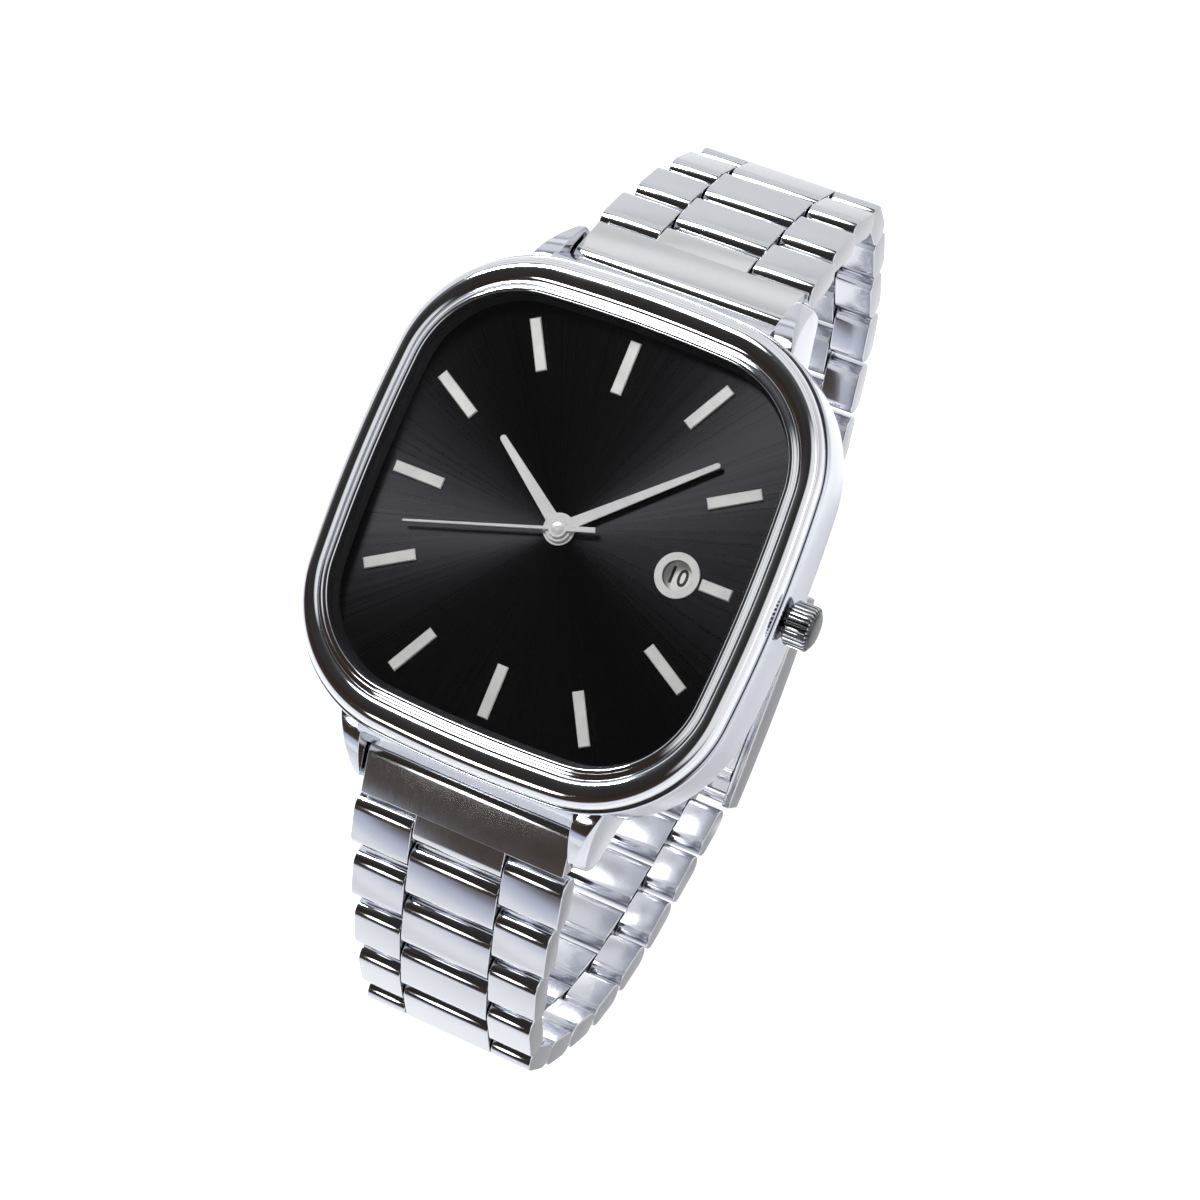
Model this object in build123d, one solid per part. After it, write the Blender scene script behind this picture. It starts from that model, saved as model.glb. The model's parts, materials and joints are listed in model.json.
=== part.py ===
from build123d import *
from math import atan2, cos, degrees, hypot, pi, radians, sin, sqrt
import os

os.makedirs("parts", exist_ok=True)

# A square quartz wristwatch with a date and a three-row link bracelet, closed in a loop.
# X points to three o'clock, Y to twelve o'clock and Z out of the dial.
# The origin is the centre of the outer face of the case back, on the axis of the hands.

# Heights: the case back, the case above it, the bezel, and the dial set down in the case
back_thick = 1.1
case_high = 7.8
bezel_high = 1.7
dial_set_down = 0.3
dial_thick = 0.4
hand_room = 0.9
crystal_thick = 1.0

# Shared clearances
cut_over = 1.0
seat_gap = 0.1
slim_gap = 0.02
pivot_gap = 0.05

# Outline of the bezel: half sizes, radius of the long side arcs, of the end arcs and of the corners
bezel_half_w = 20.15
bezel_half_h = 21.65
bezel_side_r = 119.0
bezel_end_r = 118.0
bezel_corner_r = 12.3
bezel_round = 1.45
groove_inset = 0.28
groove_width = 0.12
groove_depth = 0.16

# Outline of the window that the crystal fills: the bezel's less its width at the sides and at the ends
bezel_side_w = 2.7
bezel_end_w = 3.5
window_side_r = 145.0
window_end_r = 144.0
window_corner_r = 9.2
gasket_width = 0.36
crystal_bevel = 0.15

# Middle of the case
case_bulge = 0.4
case_low_round = 1.8
case_top_round = 0.3
cavity_inset = 1.0
dial_margin = 0.7
rehaut_low_inset = 0.4
rehaut_top_inset = 0.05
rehaut_margin = 0.3

# Case back, its raised rim and its gasket
back_margin = 0.8
back_round = 0.45
rim_height = 0.9
rim_wall = 1.0
back_seal_width = 0.6
back_seal_high = 0.4

# Bracelet links: each one has two outer pieces and a centre piece half a pitch further on.
# The half widths run from the case to the clasp, the same on both sides
link_pitch = 5.9
link_thick = 2.5
end_link_half = 9.95
first_link_over = 0.35
last_link_half = 8.0
taper = [1, 0.761, 0.543, 0.370, 0.239, 0.130, 0.065, 0.022, 0, 0, 0, 0]
centre_half = 4.4
row_gap = 0.1
edge_break = 0.14
pin_r = 0.44
pin_fit = 0.01
pin_cover = 0.35
end_link_len = 5.55
front_len = 3.8

# Lugs, the hood between them and the spring bars
lug_side_gap = 0.2
lug_root_thick = 2.55
lug_tip_thick = 1.3
lug_bury = 6.0
lug_set_in = 1.45
lug_reach = 3.75
lug_toe = 0.9
lug_top_drop = 1.4
lug_low_z = 0.3
lug_mid_share, lug_mid_high_share = 0.5, 0.78
lug_tip_high_share, lug_end_high_share = 0.42, 0.06
hood_out = 0.7
hood_top_drop = 0.7
hood_lip_drop = 3.4
hood_lip = 0.6
bar_out = 1.1
bar_z = 3.1
bar_r = 0.75
bar_inset = 0.45
bar_tip_r = 0.4
bar_tip_len = 1.5
end_link_gap = 0.25

# Heading of each link in degrees below the dial plane, from the case to the clasp
end_heading_12 = 39.5
end_heading_06 = 29.5
headings_12 = [45.5, 50, 61.5, 100, 116.5, 119, 137.5, 145, 146, 147, 148]
headings_06 = [37, 41.5, 48.5, 58, 94, 106.5, 111.5, 128.5, 140.5, 150.5, 152, 153]

# Fold-over clasp
clasp_overhang = 0.35
clasp_wall = 0.8
clasp_side = 0.85
clasp_crown_w = 3.6
clasp_end_w = 2.55
clasp_skirt_w = 0.95
clasp_end_round = 0.3
clasp_lead = 0.95
clasp_side_lead = 0.8
clasp_tail = 1.65
blade_thick = 0.6
blade_hinge_in = 2.6
blade_knuckle_r = 0.72
blade_pin_r = 0.4
blade_slot_gap = 0.3
blade_side_gap = 0.25
blade_end_gap = 0.35
blade_under_gap = 0.25
blade_bar_len = 1.6
blade_foot = 0.9
tongue_over = 0.75

# Crown and stem
crown_lift = 0.5
crown_r = 1.95
crown_root_r = 1.76
crown_flutes = 30
flute_root_share, flute_top_share = 0.3, 0.12
crown_len = 2.25
crown_cap_len = 0.28
crown_cap_r = 1.55
crown_cap_round = 0.25
crown_bevel = 0.22
crown_gap = 0.2
crown_neck_r = 1.1
crown_neck_len = 1.9
crown_hold = 1.3
crown_pull = 1.2
stem_r = 0.6
stem_thin_r = 0.42
stem_step_out = 1.2
stem_in = 5.4
stem_neck_r = 0.26
stem_neck_in = 3.5
stem_neck_len = 0.7
oring_width = 0.3
oring_len = 0.5
oring_in = 1.1

# Dial furniture: how far each bar reaches, as a share of the window's half width
marker_width = 1.0
marker_high = 0.2
marker_bevel = 0.08
marker_length = 4.7
marker_gap = 0.2
reach_shares = {12: 0.936435, 3: 0.914, 1: 1.027438, 2: 0.992894}
date_x = 11.0
date_window_r = 1.27
date_ring_width = 0.68
date_ring_high = 0.14
dial_bore_gap = 0.15

# Hands: length, width at the hub, width at the tip and hub radius of each, and its height over the dial
hour_len, hour_root, hour_tip, hour_hub_r = 9.7, 1.12, 0.6, 1.4
minute_len, minute_root, minute_tip, minute_hub_r = 14.7, 1.0, 0.5, 1.12
second_len, second_root, second_tip, second_hub_r = 13.8, 0.28, 0.2, 0.8
second_tail, second_tail_w = 3.3, 0.46
hand_thick = 0.1
hour_hand_lift = 0.24
minute_hand_lift = 0.45
second_hand_lift = 0.65
hour_angle = 305.5
minute_angle = 48.3
second_angle = 252.6

# Movement
plate_drop = 1.1
plate_thick = 1.2
plate_rim = 0.5
rim_clear = 0.3
date_wheel_out = 1.2
date_wheel_in = 1.4
date_wheel_thick = 0.2
date_wheel_drop = 0.35
cannon_r = 0.45
cannon_bore = 0.18
hour_tube_r = 0.8
hour_tube_wall = 0.28
second_arbor_r = 0.12
arbor_r = 0.16
collar_r = 0.32
wheel_thick = 0.2
leaf_thick = 0.4
motion_gap = 0.15
centre_drop = 0.45
third_drop = 0.7
second_drop = 0.55
bridge_drop = 2.6
bridge_thick = 0.45
bridge_r = 2.1
post_r = 0.9
centre_module = 0.11
minute_module = 0.125
second_module = 0.115
step_module = 0.09
battery_r = 3.4
battery_thick = 2.6
battery_inset = 1.6
battery_wall = 0.4
battery_bevel = 0.1
board_drop = 1.9
board_thick = 0.25
board_in = 4.2
board_inset = 0.6
coil_inset = 3.2
coil_half = 4.5
coil_r = 1.0
core_half_w = 0.6
core_thick = 0.35
stator_thick = 0.35
stator_half = 5.9
stator_hole_r = 0.95
stator_margin = 1.15
rotor_r = 0.75
rotor_len = 0.5
screw_r = 0.5
screw_head_r = 0.8
screw_head = 0.35
lever_width = 1.5
lever_drop = 1.55
lever_arm = 2.4
lever_arm_high = 0.4
chip_size = 2.2
chip_high = 0.45
can_r = 0.72
can_len = 6.0

# Directions in degrees from three o'clock towards twelve
train_angle = 60
motion_angle = 120
battery_angle = 150
post_angle = 295
board_post_angles = (-16, -46)
board_in_angles = (-50, -15, 18)
board_out_angles = (16, 0, -17, -34, -52)
chip_angle = -2
can_angle = -32

# Tooth counts, and the height and depth of a tooth in modules
addendum = 0.9
dedendum = 1.25
centre_teeth, cannon_leaves = 64, 12
third_teeth, third_leaves = 60, 8
second_teeth, second_leaves = 60, 8
minute_teeth, minute_leaves = 36, 10
hour_teeth = 40
step_teeth, step_leaves = 48, 8
rotor_leaves = 12

# Sizes worked out from the ones above
case_low_z = back_thick
case_top_z = back_thick + case_high
bezel_top_z = case_top_z + bezel_high
dial_top_z = case_top_z - dial_set_down
dial_low_z = dial_top_z - dial_thick
crystal_under_z = dial_top_z + hand_room
hour_hand_z = dial_top_z + hour_hand_lift
minute_hand_z = dial_top_z + minute_hand_lift
second_hand_z = dial_top_z + second_hand_lift
window_half_w = bezel_half_w - bezel_side_w
window_half_h = bezel_half_h - bezel_end_w
case_half_w = bezel_half_w + case_bulge
case_half_h = bezel_half_h + case_bulge
lug_gap_half = end_link_half + lug_side_gap
lug_root_out = lug_gap_half + lug_root_thick
lug_tip_out = lug_gap_half + lug_tip_thick
lug_root_y = case_half_h - lug_bury
lug_top_y = case_half_h - lug_set_in
lug_tip_y = case_half_h + lug_reach
lug_mid_y = case_half_h + lug_reach * lug_mid_share
lug_top_z = case_top_z - lug_top_drop
lug_high = lug_top_z - lug_low_z
hood_y = case_half_h + hood_out
hood_top_z = case_top_z - hood_top_drop
hood_z = case_top_z - hood_lip_drop
bar_y = case_half_h + bar_out
bar_half = end_link_half - bar_inset
link_taper = end_link_half + first_link_over - last_link_half
link_halves = [last_link_half + link_taper * share for share in taper]
clasp_half = last_link_half + clasp_overhang
plate_top_z = dial_low_z - plate_drop
plate_low_z = plate_top_z - plate_thick
crown_z = plate_low_z + crown_lift
date_wheel_r = date_x + date_wheel_out
plate_r = date_wheel_r + rim_clear + plate_rim
stem_step_x = plate_r + stem_step_out
stem_end_x = plate_r - stem_in
stem_neck_x = plate_r - stem_neck_in
bridge_low_z = plate_low_z - bridge_drop
board_z = plate_low_z - board_drop
board_out = plate_r - board_inset
coil_dist = plate_r - coil_inset
battery_dist = plate_r - battery_r - battery_inset
holder_low_z = back_thick + rim_height + seat_gap
third_module = centre_module * (centre_teeth + third_leaves) / (third_teeth + second_leaves)
hour_module = minute_module * (cannon_leaves + minute_teeth) / (minute_leaves + hour_teeth)
dial_bore_r = hour_tube_r + dial_bore_gap
date_ring_r = date_window_r + date_ring_width
link_r = link_thick / 2


def save(name, *solids):
    """One node: a single solid, or a group of solids."""
    flat = []
    for s in solids:
        flat += list(s.solids())
    shape = flat[0] if len(flat) == 1 else Compound(children=flat)
    export_step(shape, f"parts/{name}.step")


def outline(hw, hh, side_r, end_r, corner_r, grow=0):
    """Face bounded by two long side arcs, two long end arcs and four corner arcs, all tangent."""
    hw, hh, side_r, end_r, corner_r = (v + grow for v in (hw, hh, side_r, end_r, corner_r))
    ax, by = hw - side_r, hh - end_r
    ra, rb = side_r - corner_r, end_r - corner_r
    span = hypot(ax, by)
    dx, dy = -ax / span, by / span
    along = (ra ** 2 - rb ** 2 + span ** 2) / (2 * span)
    off = sqrt(ra ** 2 - along ** 2)
    cx, cy = ax + along * dx - off * dy, along * dy + off * dx
    ta, tb = atan2(cy, cx - ax), atan2(cy - by, cx)
    side = (ax + side_r * cos(ta), side_r * sin(ta))
    end = (end_r * cos(tb), by + end_r * sin(tb))
    mid = (cx + corner_r * cos((ta + tb) / 2), cy + corner_r * sin((ta + tb) / 2))
    edges = []
    for sx, sy in ((1, 1), (-1, 1), (-1, -1), (1, -1)):
        edges.append(ThreePointArc((sx * side[0], sy * side[1]), (sx * mid[0], sy * mid[1]),
                                   (sx * end[0], sy * end[1])))
    for s in (1, -1):
        edges.append(ThreePointArc((s * side[0], -side[1]), (s * hw, 0), (s * side[0], side[1])))
        edges.append(ThreePointArc((-end[0], s * end[1]), (0, s * hh), (end[0], s * end[1])))
    return make_face(edges)


def bezel_face(grow=0):
    return outline(bezel_half_w, bezel_half_h, bezel_side_r, bezel_end_r, bezel_corner_r, grow)


def window_face(grow=0):
    return outline(window_half_w, window_half_h, window_side_r, window_end_r, window_corner_r, grow)


def slab(face, low, high):
    return Pos(0, 0, low) * extrude(face, high - low)


def rod_x(r, x0, x1, y=0, z=0):
    """Cylinder along X from x0 to x1."""
    return Pos((x0 + x1) / 2, y, z) * Rot(0, 90, 0) * Cylinder(r, x1 - x0)


def rod_z(r, z0, z1, x=0, y=0):
    return Pos(x, y, (z0 + z1) / 2) * Cylinder(r, z1 - z0)


def ring_z(r_out, r_in, z0, z1, x=0, y=0):
    return rod_z(r_out, z0, z1, x, y) - rod_z(r_in, z0 - cut_over, z1 + cut_over, x, y)


def prism_x(points, x0, x1):
    """Solid of a profile given in Y and Z, drawn from x0 to x1."""
    face = make_face(Polyline(*[(0, y, z) for y, z in points], close=True))
    return Pos(x0, 0, 0) * extrude(face, x1 - x0, dir=(1, 0, 0))


def top_edges(solid, inner=False):
    face = solid.faces().filter_by(GeomType.PLANE).sort_by(Axis.Z)[-1]
    return face.inner_wires()[0].edges() if inner else face.outer_wire().edges()


def low_edges(solid):
    return solid.faces().filter_by(GeomType.PLANE).sort_by(Axis.Z)[0].outer_wire().edges()


def polar(dist, deg):
    return dist * cos(radians(deg)), dist * sin(radians(deg))


# Middle of the case, with four lugs and the two hoods over the end links
middle = slab(bezel_face(case_bulge), case_low_z, case_top_z)
middle = fillet(low_edges(middle), case_low_round)
middle = fillet(top_edges(middle), case_top_round)
hood_low_z = hood_z - hood_lip
hood_profile = [(lug_root_y, hood_top_z), (bezel_half_h, hood_top_z), (hood_y, hood_z),
                (hood_y - seat_gap, hood_low_z), (lug_root_y, hood_low_z)]
hood = prism_x(hood_profile, -lug_gap_half, lug_gap_half)
lug_profile = [(lug_root_y, lug_top_z), (lug_top_y, lug_top_z)]
lug_steps = ((lug_mid_y, lug_mid_high_share), (lug_tip_y, lug_tip_high_share),
             (lug_tip_y, lug_end_high_share))
for y, share in lug_steps:
    lug_profile.append((y, lug_low_z + lug_high * share))
lug_profile += [(lug_tip_y - lug_toe, lug_low_z), (lug_root_y, case_low_z + case_low_round / 2)]
lug_plan = [(lug_gap_half, lug_root_y), (lug_root_out, lug_root_y), (lug_root_out, bezel_half_h - link_r),
            (lug_tip_out, lug_tip_y + seat_gap), (lug_gap_half, lug_tip_y + seat_gap)]
lug = prism_x(lug_profile, lug_gap_half, lug_root_out)
lug = lug & slab(make_face(Polyline(*lug_plan, close=True)), 0, case_top_z)
lug -= rod_x(bar_tip_r + pivot_gap, 0, bar_half + bar_tip_len + seat_gap, bar_y, bar_z)
for turn in (0, 180):
    middle += Rot(0, 0, turn) * hood
    middle += Rot(0, 0, turn) * lug
    middle += Rot(0, 0, turn) * mirror(lug, Plane.YZ)
for side in (1, -1):
    middle -= rod_x(link_r + end_link_gap, -lug_gap_half, lug_gap_half, side * bar_y, bar_z)
middle -= slab(window_face(-cavity_inset), case_low_z - cut_over, dial_low_z)
middle -= slab(window_face(dial_margin + seat_gap), dial_low_z, case_top_z + cut_over)
seal_top_z = case_low_z + back_seal_high
middle -= slab(window_face(back_seal_width - cavity_inset), case_low_z - cut_over, seal_top_z)
middle -= rod_x(stem_r + seat_gap, 0, case_half_w, 0, crown_z)
neck_end_x = case_half_w + crown_gap - crown_neck_len
middle -= rod_x(crown_neck_r + seat_gap, neck_end_x - seat_gap, case_half_w + cut_over, 0, crown_z)
oring_x = case_half_w - oring_in
middle -= rod_x(crown_neck_r + pivot_gap + oring_width + slim_gap, oring_x - oring_len / 2 - slim_gap,
                oring_x + oring_len / 2 + slim_gap, 0, crown_z)
save("case_middle", middle)

# Bezel: a rounded frame with a fine groove beside the crystal
bezel = slab(bezel_face(), case_top_z, bezel_top_z)
bezel -= slab(window_face(gasket_width + slim_gap), case_top_z - cut_over, bezel_top_z + cut_over)
bezel = fillet(top_edges(bezel), bezel_round)
bezel = fillet(top_edges(bezel, inner=True), groove_inset / 2)
groove_low = window_face(gasket_width + groove_inset)
groove_high = window_face(gasket_width + groove_inset + groove_width)
bezel -= slab(groove_high, bezel_top_z - groove_depth, bezel_top_z) - \
    slab(groove_low, bezel_top_z - groove_depth - cut_over, bezel_top_z + cut_over)
save("bezel", bezel)

# Crystal, and the dark ring between it and the dial
crystal = slab(window_face(-slim_gap), crystal_under_z, crystal_under_z + crystal_thick)
crystal = chamfer(top_edges(crystal), crystal_bevel)
save("crystal", crystal)
rehaut = slab(window_face(rehaut_margin), dial_top_z, crystal_under_z)
rehaut -= loft([Pos(0, 0, dial_top_z) * window_face(-rehaut_low_inset),
                Pos(0, 0, crystal_under_z) * window_face(-rehaut_top_inset)])
save("rehaut_ring", rehaut)

# Dial with its centre bore and date window
dial = slab(window_face(dial_margin), dial_low_z, dial_top_z)
dial -= rod_z(dial_bore_r, 0, bezel_top_z)
dial -= rod_z(date_window_r, 0, bezel_top_z, date_x)
save("dial", dial)

# Twelve applied bars; the one at three o'clock is cut short by the date
markers = []
for hour in range(1, 13):
    near = {0: 12, 3: 3, 1: 1, 5: 1, 2: 2, 4: 2}[hour % 6]
    turn = 2 * pi * hour / 12
    outer = hypot(window_half_w * sin(turn), window_half_h * cos(turn)) * reach_shares[near]
    length = marker_length
    if hour == 3:
        length = outer - date_x - date_ring_r - marker_gap
    bar = Pos(0, outer - length / 2, dial_top_z + marker_high / 2) * Box(marker_width, length, marker_high)
    bar = chamfer(top_edges(bar), marker_bevel)
    markers.append(Rot(0, 0, -360 * hour / 12) * bar)
save("hour_markers", *markers)
save("date_frame", ring_z(date_ring_r, date_window_r, dial_top_z, dial_top_z + date_ring_high, date_x))


def hand(length, root, tip, hub_r, bore_r, low_z, angle, tail=0, tail_w=0):
    """Tapered blade with a round tip, a round hub and an optional tail."""
    blade = make_face(Polyline((-root / 2, 0), (root / 2, 0), (tip / 2, length - tip / 2),
                               (-tip / 2, length - tip / 2), close=True))
    shape = blade + Pos(0, length - tip / 2) * Circle(tip / 2) + Circle(hub_r)
    if tail:
        shape += Pos(0, -tail / 2) * Rectangle(tail_w, tail)
    if bore_r:
        shape -= Circle(bore_r)
    return Rot(0, 0, -angle) * slab(shape, low_z, low_z + hand_thick)


hour_hand = hand(hour_len, hour_root, hour_tip, hour_hub_r, hour_tube_r, hour_hand_z, hour_angle)
save("hour_hand", hour_hand)
minute_hand = hand(minute_len, minute_root, minute_tip, minute_hub_r, cannon_r, minute_hand_z, minute_angle)
save("minute_hand", minute_hand)
second_hand = hand(second_len, second_root, second_tip, second_hub_r, second_arbor_r, second_hand_z,
                   second_angle, second_tail, second_tail_w)
save("second_hand", second_hand)

# Case back with a raised rim, pressed in against its gasket
back = slab(window_face(back_margin), 0, back_thick)
back = fillet(low_edges(back), back_round)
rim = slab(window_face(-cavity_inset - seat_gap), back_thick, back_thick + rim_height)
rim -= slab(window_face(-cavity_inset - seat_gap - rim_wall), 0, back_thick + rim_height + cut_over)
save("case_back", back + rim)

crystal_seal = slab(window_face(gasket_width), crystal_under_z, crystal_under_z + crystal_thick)
crystal_seal -= slab(window_face(), 0, bezel_top_z)
back_seal = slab(window_face(back_seal_width - cavity_inset - slim_gap), case_low_z, seal_top_z)
back_seal -= slab(window_face(-cavity_inset), 0, bezel_top_z)
crown_seal = rod_x(crown_neck_r + pivot_gap + oring_width, oring_x - oring_len / 2, oring_x + oring_len / 2,
                   0, crown_z)
crown_seal -= rod_x(crown_neck_r + pivot_gap, 0, case_half_w, 0, crown_z)
save("seal_rings", crystal_seal, back_seal, crown_seal)

# Crown: fluted edge, smooth cap and a neck that turns inside the case wall
crown_x = case_half_w + crown_gap
flute_steps = ((-flute_root_share, crown_root_r), (-flute_top_share, crown_r),
               (flute_top_share, crown_r), (flute_root_share, crown_root_r))
flute_points = []
for i in range(crown_flutes):
    for share, r in flute_steps:
        a = 2 * pi * (i + share) / crown_flutes
        flute_points.append((0, r * cos(a), r * sin(a)))
head = extrude(make_face(Polyline(*flute_points, close=True)), crown_len, dir=(1, 0, 0))
blank = Rot(0, 90, 0) * Cylinder(crown_r, crown_len)
blank = chamfer(blank.edges().filter_by(GeomType.CIRCLE), crown_bevel)
head = Pos(crown_x, 0, crown_z) * (head & Pos(crown_len / 2, 0, 0) * blank)
cap = rod_x(crown_cap_r, crown_x, crown_x + crown_len + crown_cap_len, 0, crown_z)
cap = fillet(cap.faces().sort_by(Axis.X)[-1].edges(), crown_cap_round)
crown = head + cap + rod_x(crown_neck_r, neck_end_x, crown_x + crown_bevel, 0, crown_z)
crown -= rod_x(stem_r + slim_gap, 0, crown_x + crown_hold, 0, crown_z)
save("crown", crown)
stem = rod_x(stem_r, stem_step_x, crown_x + crown_hold - slim_gap, 0, crown_z)
stem += rod_x(stem_thin_r, stem_end_x, stem_step_x, 0, crown_z)
neck = rod_x(stem_r, stem_neck_x, stem_neck_x + stem_neck_len, 0, crown_z)
stem -= neck - rod_x(stem_neck_r, 0, stem_step_x, 0, crown_z)
save("stem", stem)

# Spring bars, each with two thin tips that stand in the lugs
bars = []
for side in (1, -1):
    bar = rod_x(bar_r, -bar_half, bar_half, side * bar_y, bar_z)
    bar += rod_x(bar_tip_r, -bar_half - bar_tip_len, bar_half + bar_tip_len, side * bar_y, bar_z)
    bars.append(bar)
save("spring_bars", *bars)


# Gears have flat-sided teeth with generous backlash
root_share, flank_share, tip_share = 0.29, 0.2, 0.09
tooth_steps = ((-root_share, -dedendum), (-flank_share, 0), (-tip_share, addendum),
               (tip_share, addendum), (flank_share, 0), (root_share, -dedendum))


def gear(teeth, module, low_z, high_z, phase):
    """Spur gear; phase is the angle in degrees of the middle of one tooth."""
    pitch_r = teeth * module / 2
    points = []
    for i in range(teeth):
        for share, level in tooth_steps:
            r = pitch_r + module * level
            a = radians(phase) + 2 * pi * (i + share) / teeth
            points.append((r * cos(a), r * sin(a)))
    return slab(make_face(Polyline(*points, close=True)), low_z, high_z)


def mate_phase(teeth, deg):
    """Phase of a gear whose gap faces a neighbour that lies towards deg."""
    return deg + 180 / teeth


# Heights of the train, counted down from the main plate, and the places of its arbors
centre_z = plate_low_z - centre_drop
third_z = centre_z - third_drop
second_z = third_z - second_drop
cannon_z = plate_top_z + seat_gap
hour_z = cannon_z + wheel_thick + motion_gap
bridge_top_z = bridge_low_z + bridge_thick
pivot_top_z = plate_low_z + plate_thick / 2
step_angle = train_angle + 180
third_dist = (centre_teeth + third_leaves) * centre_module / 2
motion_dist = (cannon_leaves + minute_teeth) * minute_module / 2
step_dist = (second_teeth + step_leaves) * second_module / 2
rotor_dist = step_dist + (step_teeth + rotor_leaves) * step_module / 2
third_xy = polar(third_dist, train_angle)
motion_xy = polar(motion_dist, motion_angle)
step_xy = polar(step_dist, step_angle)
rotor_xy = polar(rotor_dist, step_angle)
battery_xy = polar(battery_dist, battery_angle)

cannon = rod_z(cannon_r, centre_z, minute_hand_z + hand_thick - slim_gap)
centre_wheel = gear(centre_teeth, centre_module, centre_z, centre_z + wheel_thick, train_angle) + cannon
centre_wheel += gear(cannon_leaves, minute_module, cannon_z, cannon_z + wheel_thick, motion_angle)
centre_wheel -= rod_z(cannon_bore, 0, bezel_top_z)
save("centre_wheel", centre_wheel)

leaf_low, leaf_high = -seat_gap, leaf_thick - seat_gap
towards_centre = train_angle + 180
third_wheel = gear(third_leaves, centre_module, centre_z + leaf_low, centre_z + leaf_high,
                   mate_phase(third_leaves, towards_centre))
third_wheel += gear(third_teeth, third_module, third_z, third_z + wheel_thick,
                    mate_phase(third_teeth, towards_centre))
third_wheel += rod_z(collar_r, third_z, centre_z)
third_wheel += rod_z(arbor_r, bridge_low_z + slim_gap, pivot_top_z)
save("third_wheel", Pos(*third_xy) * third_wheel)

second_wheel = gear(second_leaves, third_module, third_z + leaf_low, third_z + leaf_high, train_angle)
second_wheel += gear(second_teeth, second_module, second_z, second_z + wheel_thick, train_angle)
second_wheel += rod_z(collar_r, second_z, third_z)
second_wheel += rod_z(second_arbor_r, bridge_low_z + slim_gap, second_hand_z + hand_thick)
save("second_wheel", second_wheel)

back_angle = motion_angle + 180
minute_wheel = gear(minute_teeth, minute_module, cannon_z, cannon_z + wheel_thick,
                    mate_phase(minute_teeth, back_angle))
minute_wheel += gear(minute_leaves, hour_module, cannon_z, hour_z + wheel_thick,
                     mate_phase(minute_leaves, back_angle))
minute_wheel -= rod_z(collar_r + pivot_gap, 0, bezel_top_z)
save("minute_wheel", Pos(*motion_xy) * minute_wheel)

hour_wheel = gear(hour_teeth, hour_module, hour_z, hour_z + wheel_thick, motion_angle)
hour_wheel += rod_z(hour_tube_r - slim_gap, hour_z, hour_hand_z + hand_thick - slim_gap)
hour_wheel -= rod_z(hour_tube_r - hour_tube_wall, 0, bezel_top_z)
save("hour_wheel", hour_wheel)

intermediate = gear(step_leaves, second_module, second_z + leaf_low, second_z + leaf_high,
                    mate_phase(step_leaves, step_angle + 180))
intermediate += gear(step_teeth, step_module, third_z, third_z + wheel_thick, step_angle)
intermediate += rod_z(collar_r, second_z, third_z)
intermediate += rod_z(arbor_r, bridge_low_z + slim_gap, pivot_top_z)
save("intermediate_wheel", Pos(*step_xy) * intermediate)

rotor = gear(rotor_leaves, step_module, third_z + leaf_low, third_z + leaf_high,
             mate_phase(rotor_leaves, step_angle + 180))
rotor += rod_z(rotor_r, centre_z + seat_gap - rotor_len, centre_z + seat_gap)
rotor += rod_z(collar_r, third_z, centre_z)
rotor += rod_z(arbor_r, bridge_low_z + slim_gap, pivot_top_z)
save("rotor", Pos(*rotor_xy) * rotor)


def strip(p, q, r):
    """Flat bar with round ends from p to q."""
    dx, dy = q[0] - p[0], q[1] - p[1]
    middle_at = ((p[0] + q[0]) / 2, (p[1] + q[1]) / 2)
    bar = Pos(*middle_at) * Rot(0, 0, degrees(atan2(dy, dx))) * Rectangle(hypot(dx, dy), 2 * r)
    return bar + Pos(*p) * Circle(r) + Pos(*q) * Circle(r)


# Main plate, with a rim that carries the dial and a wall round the battery
post_one = polar(third_dist + third_teeth * third_module / 2 + post_r + 2 * seat_gap, train_angle)
post_two = polar(plate_r / 2, post_angle)
board_posts = [polar(board_out - post_r - seat_gap, a) for a in board_post_angles]
plate = rod_z(plate_r, plate_low_z, plate_top_z)
plate += ring_z(plate_r, plate_r - plate_rim, plate_top_z, dial_low_z - slim_gap)
plate += rod_z(collar_r, plate_top_z, hour_z + wheel_thick, *motion_xy)
plate += ring_z(battery_r + seat_gap + battery_wall, battery_r + seat_gap,
                plate_low_z - battery_thick / 2, plate_low_z, *battery_xy)
for x, y in (post_one, post_two):
    plate += rod_z(post_r, bridge_top_z, plate_low_z, x, y)
for x, y in board_posts:
    plate += rod_z(post_r, board_z + board_thick, plate_low_z, x, y)
plate -= rod_z(cannon_r + pivot_gap, 0, bezel_top_z)
for x, y in (third_xy, step_xy, rotor_xy):
    plate -= rod_z(arbor_r + pivot_gap, plate_low_z - cut_over, pivot_top_z + seat_gap, x, y)
plate -= rod_x(stem_r + seat_gap, stem_end_x - seat_gap, plate_r + cut_over, 0, crown_z)
pocket_x0 = stem_neck_x - 2 * seat_gap
pocket_x1 = stem_neck_x + stem_neck_len + crown_pull + 2 * seat_gap
pocket = Box(pocket_x1 - pocket_x0, lever_width + 4 * seat_gap, plate_thick + 2 * cut_over)
plate -= Pos((pocket_x0 + pocket_x1) / 2, 0, plate_low_z + plate_thick / 2) * pocket
screw_at = [(*post_one, bridge_low_z), (*post_two, bridge_low_z)] + [(*p, board_z) for p in board_posts]
for x, y, z in screw_at:
    plate -= rod_z(screw_r + slim_gap, 0, pivot_top_z, x, y)
save("main_plate", plate)

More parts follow.
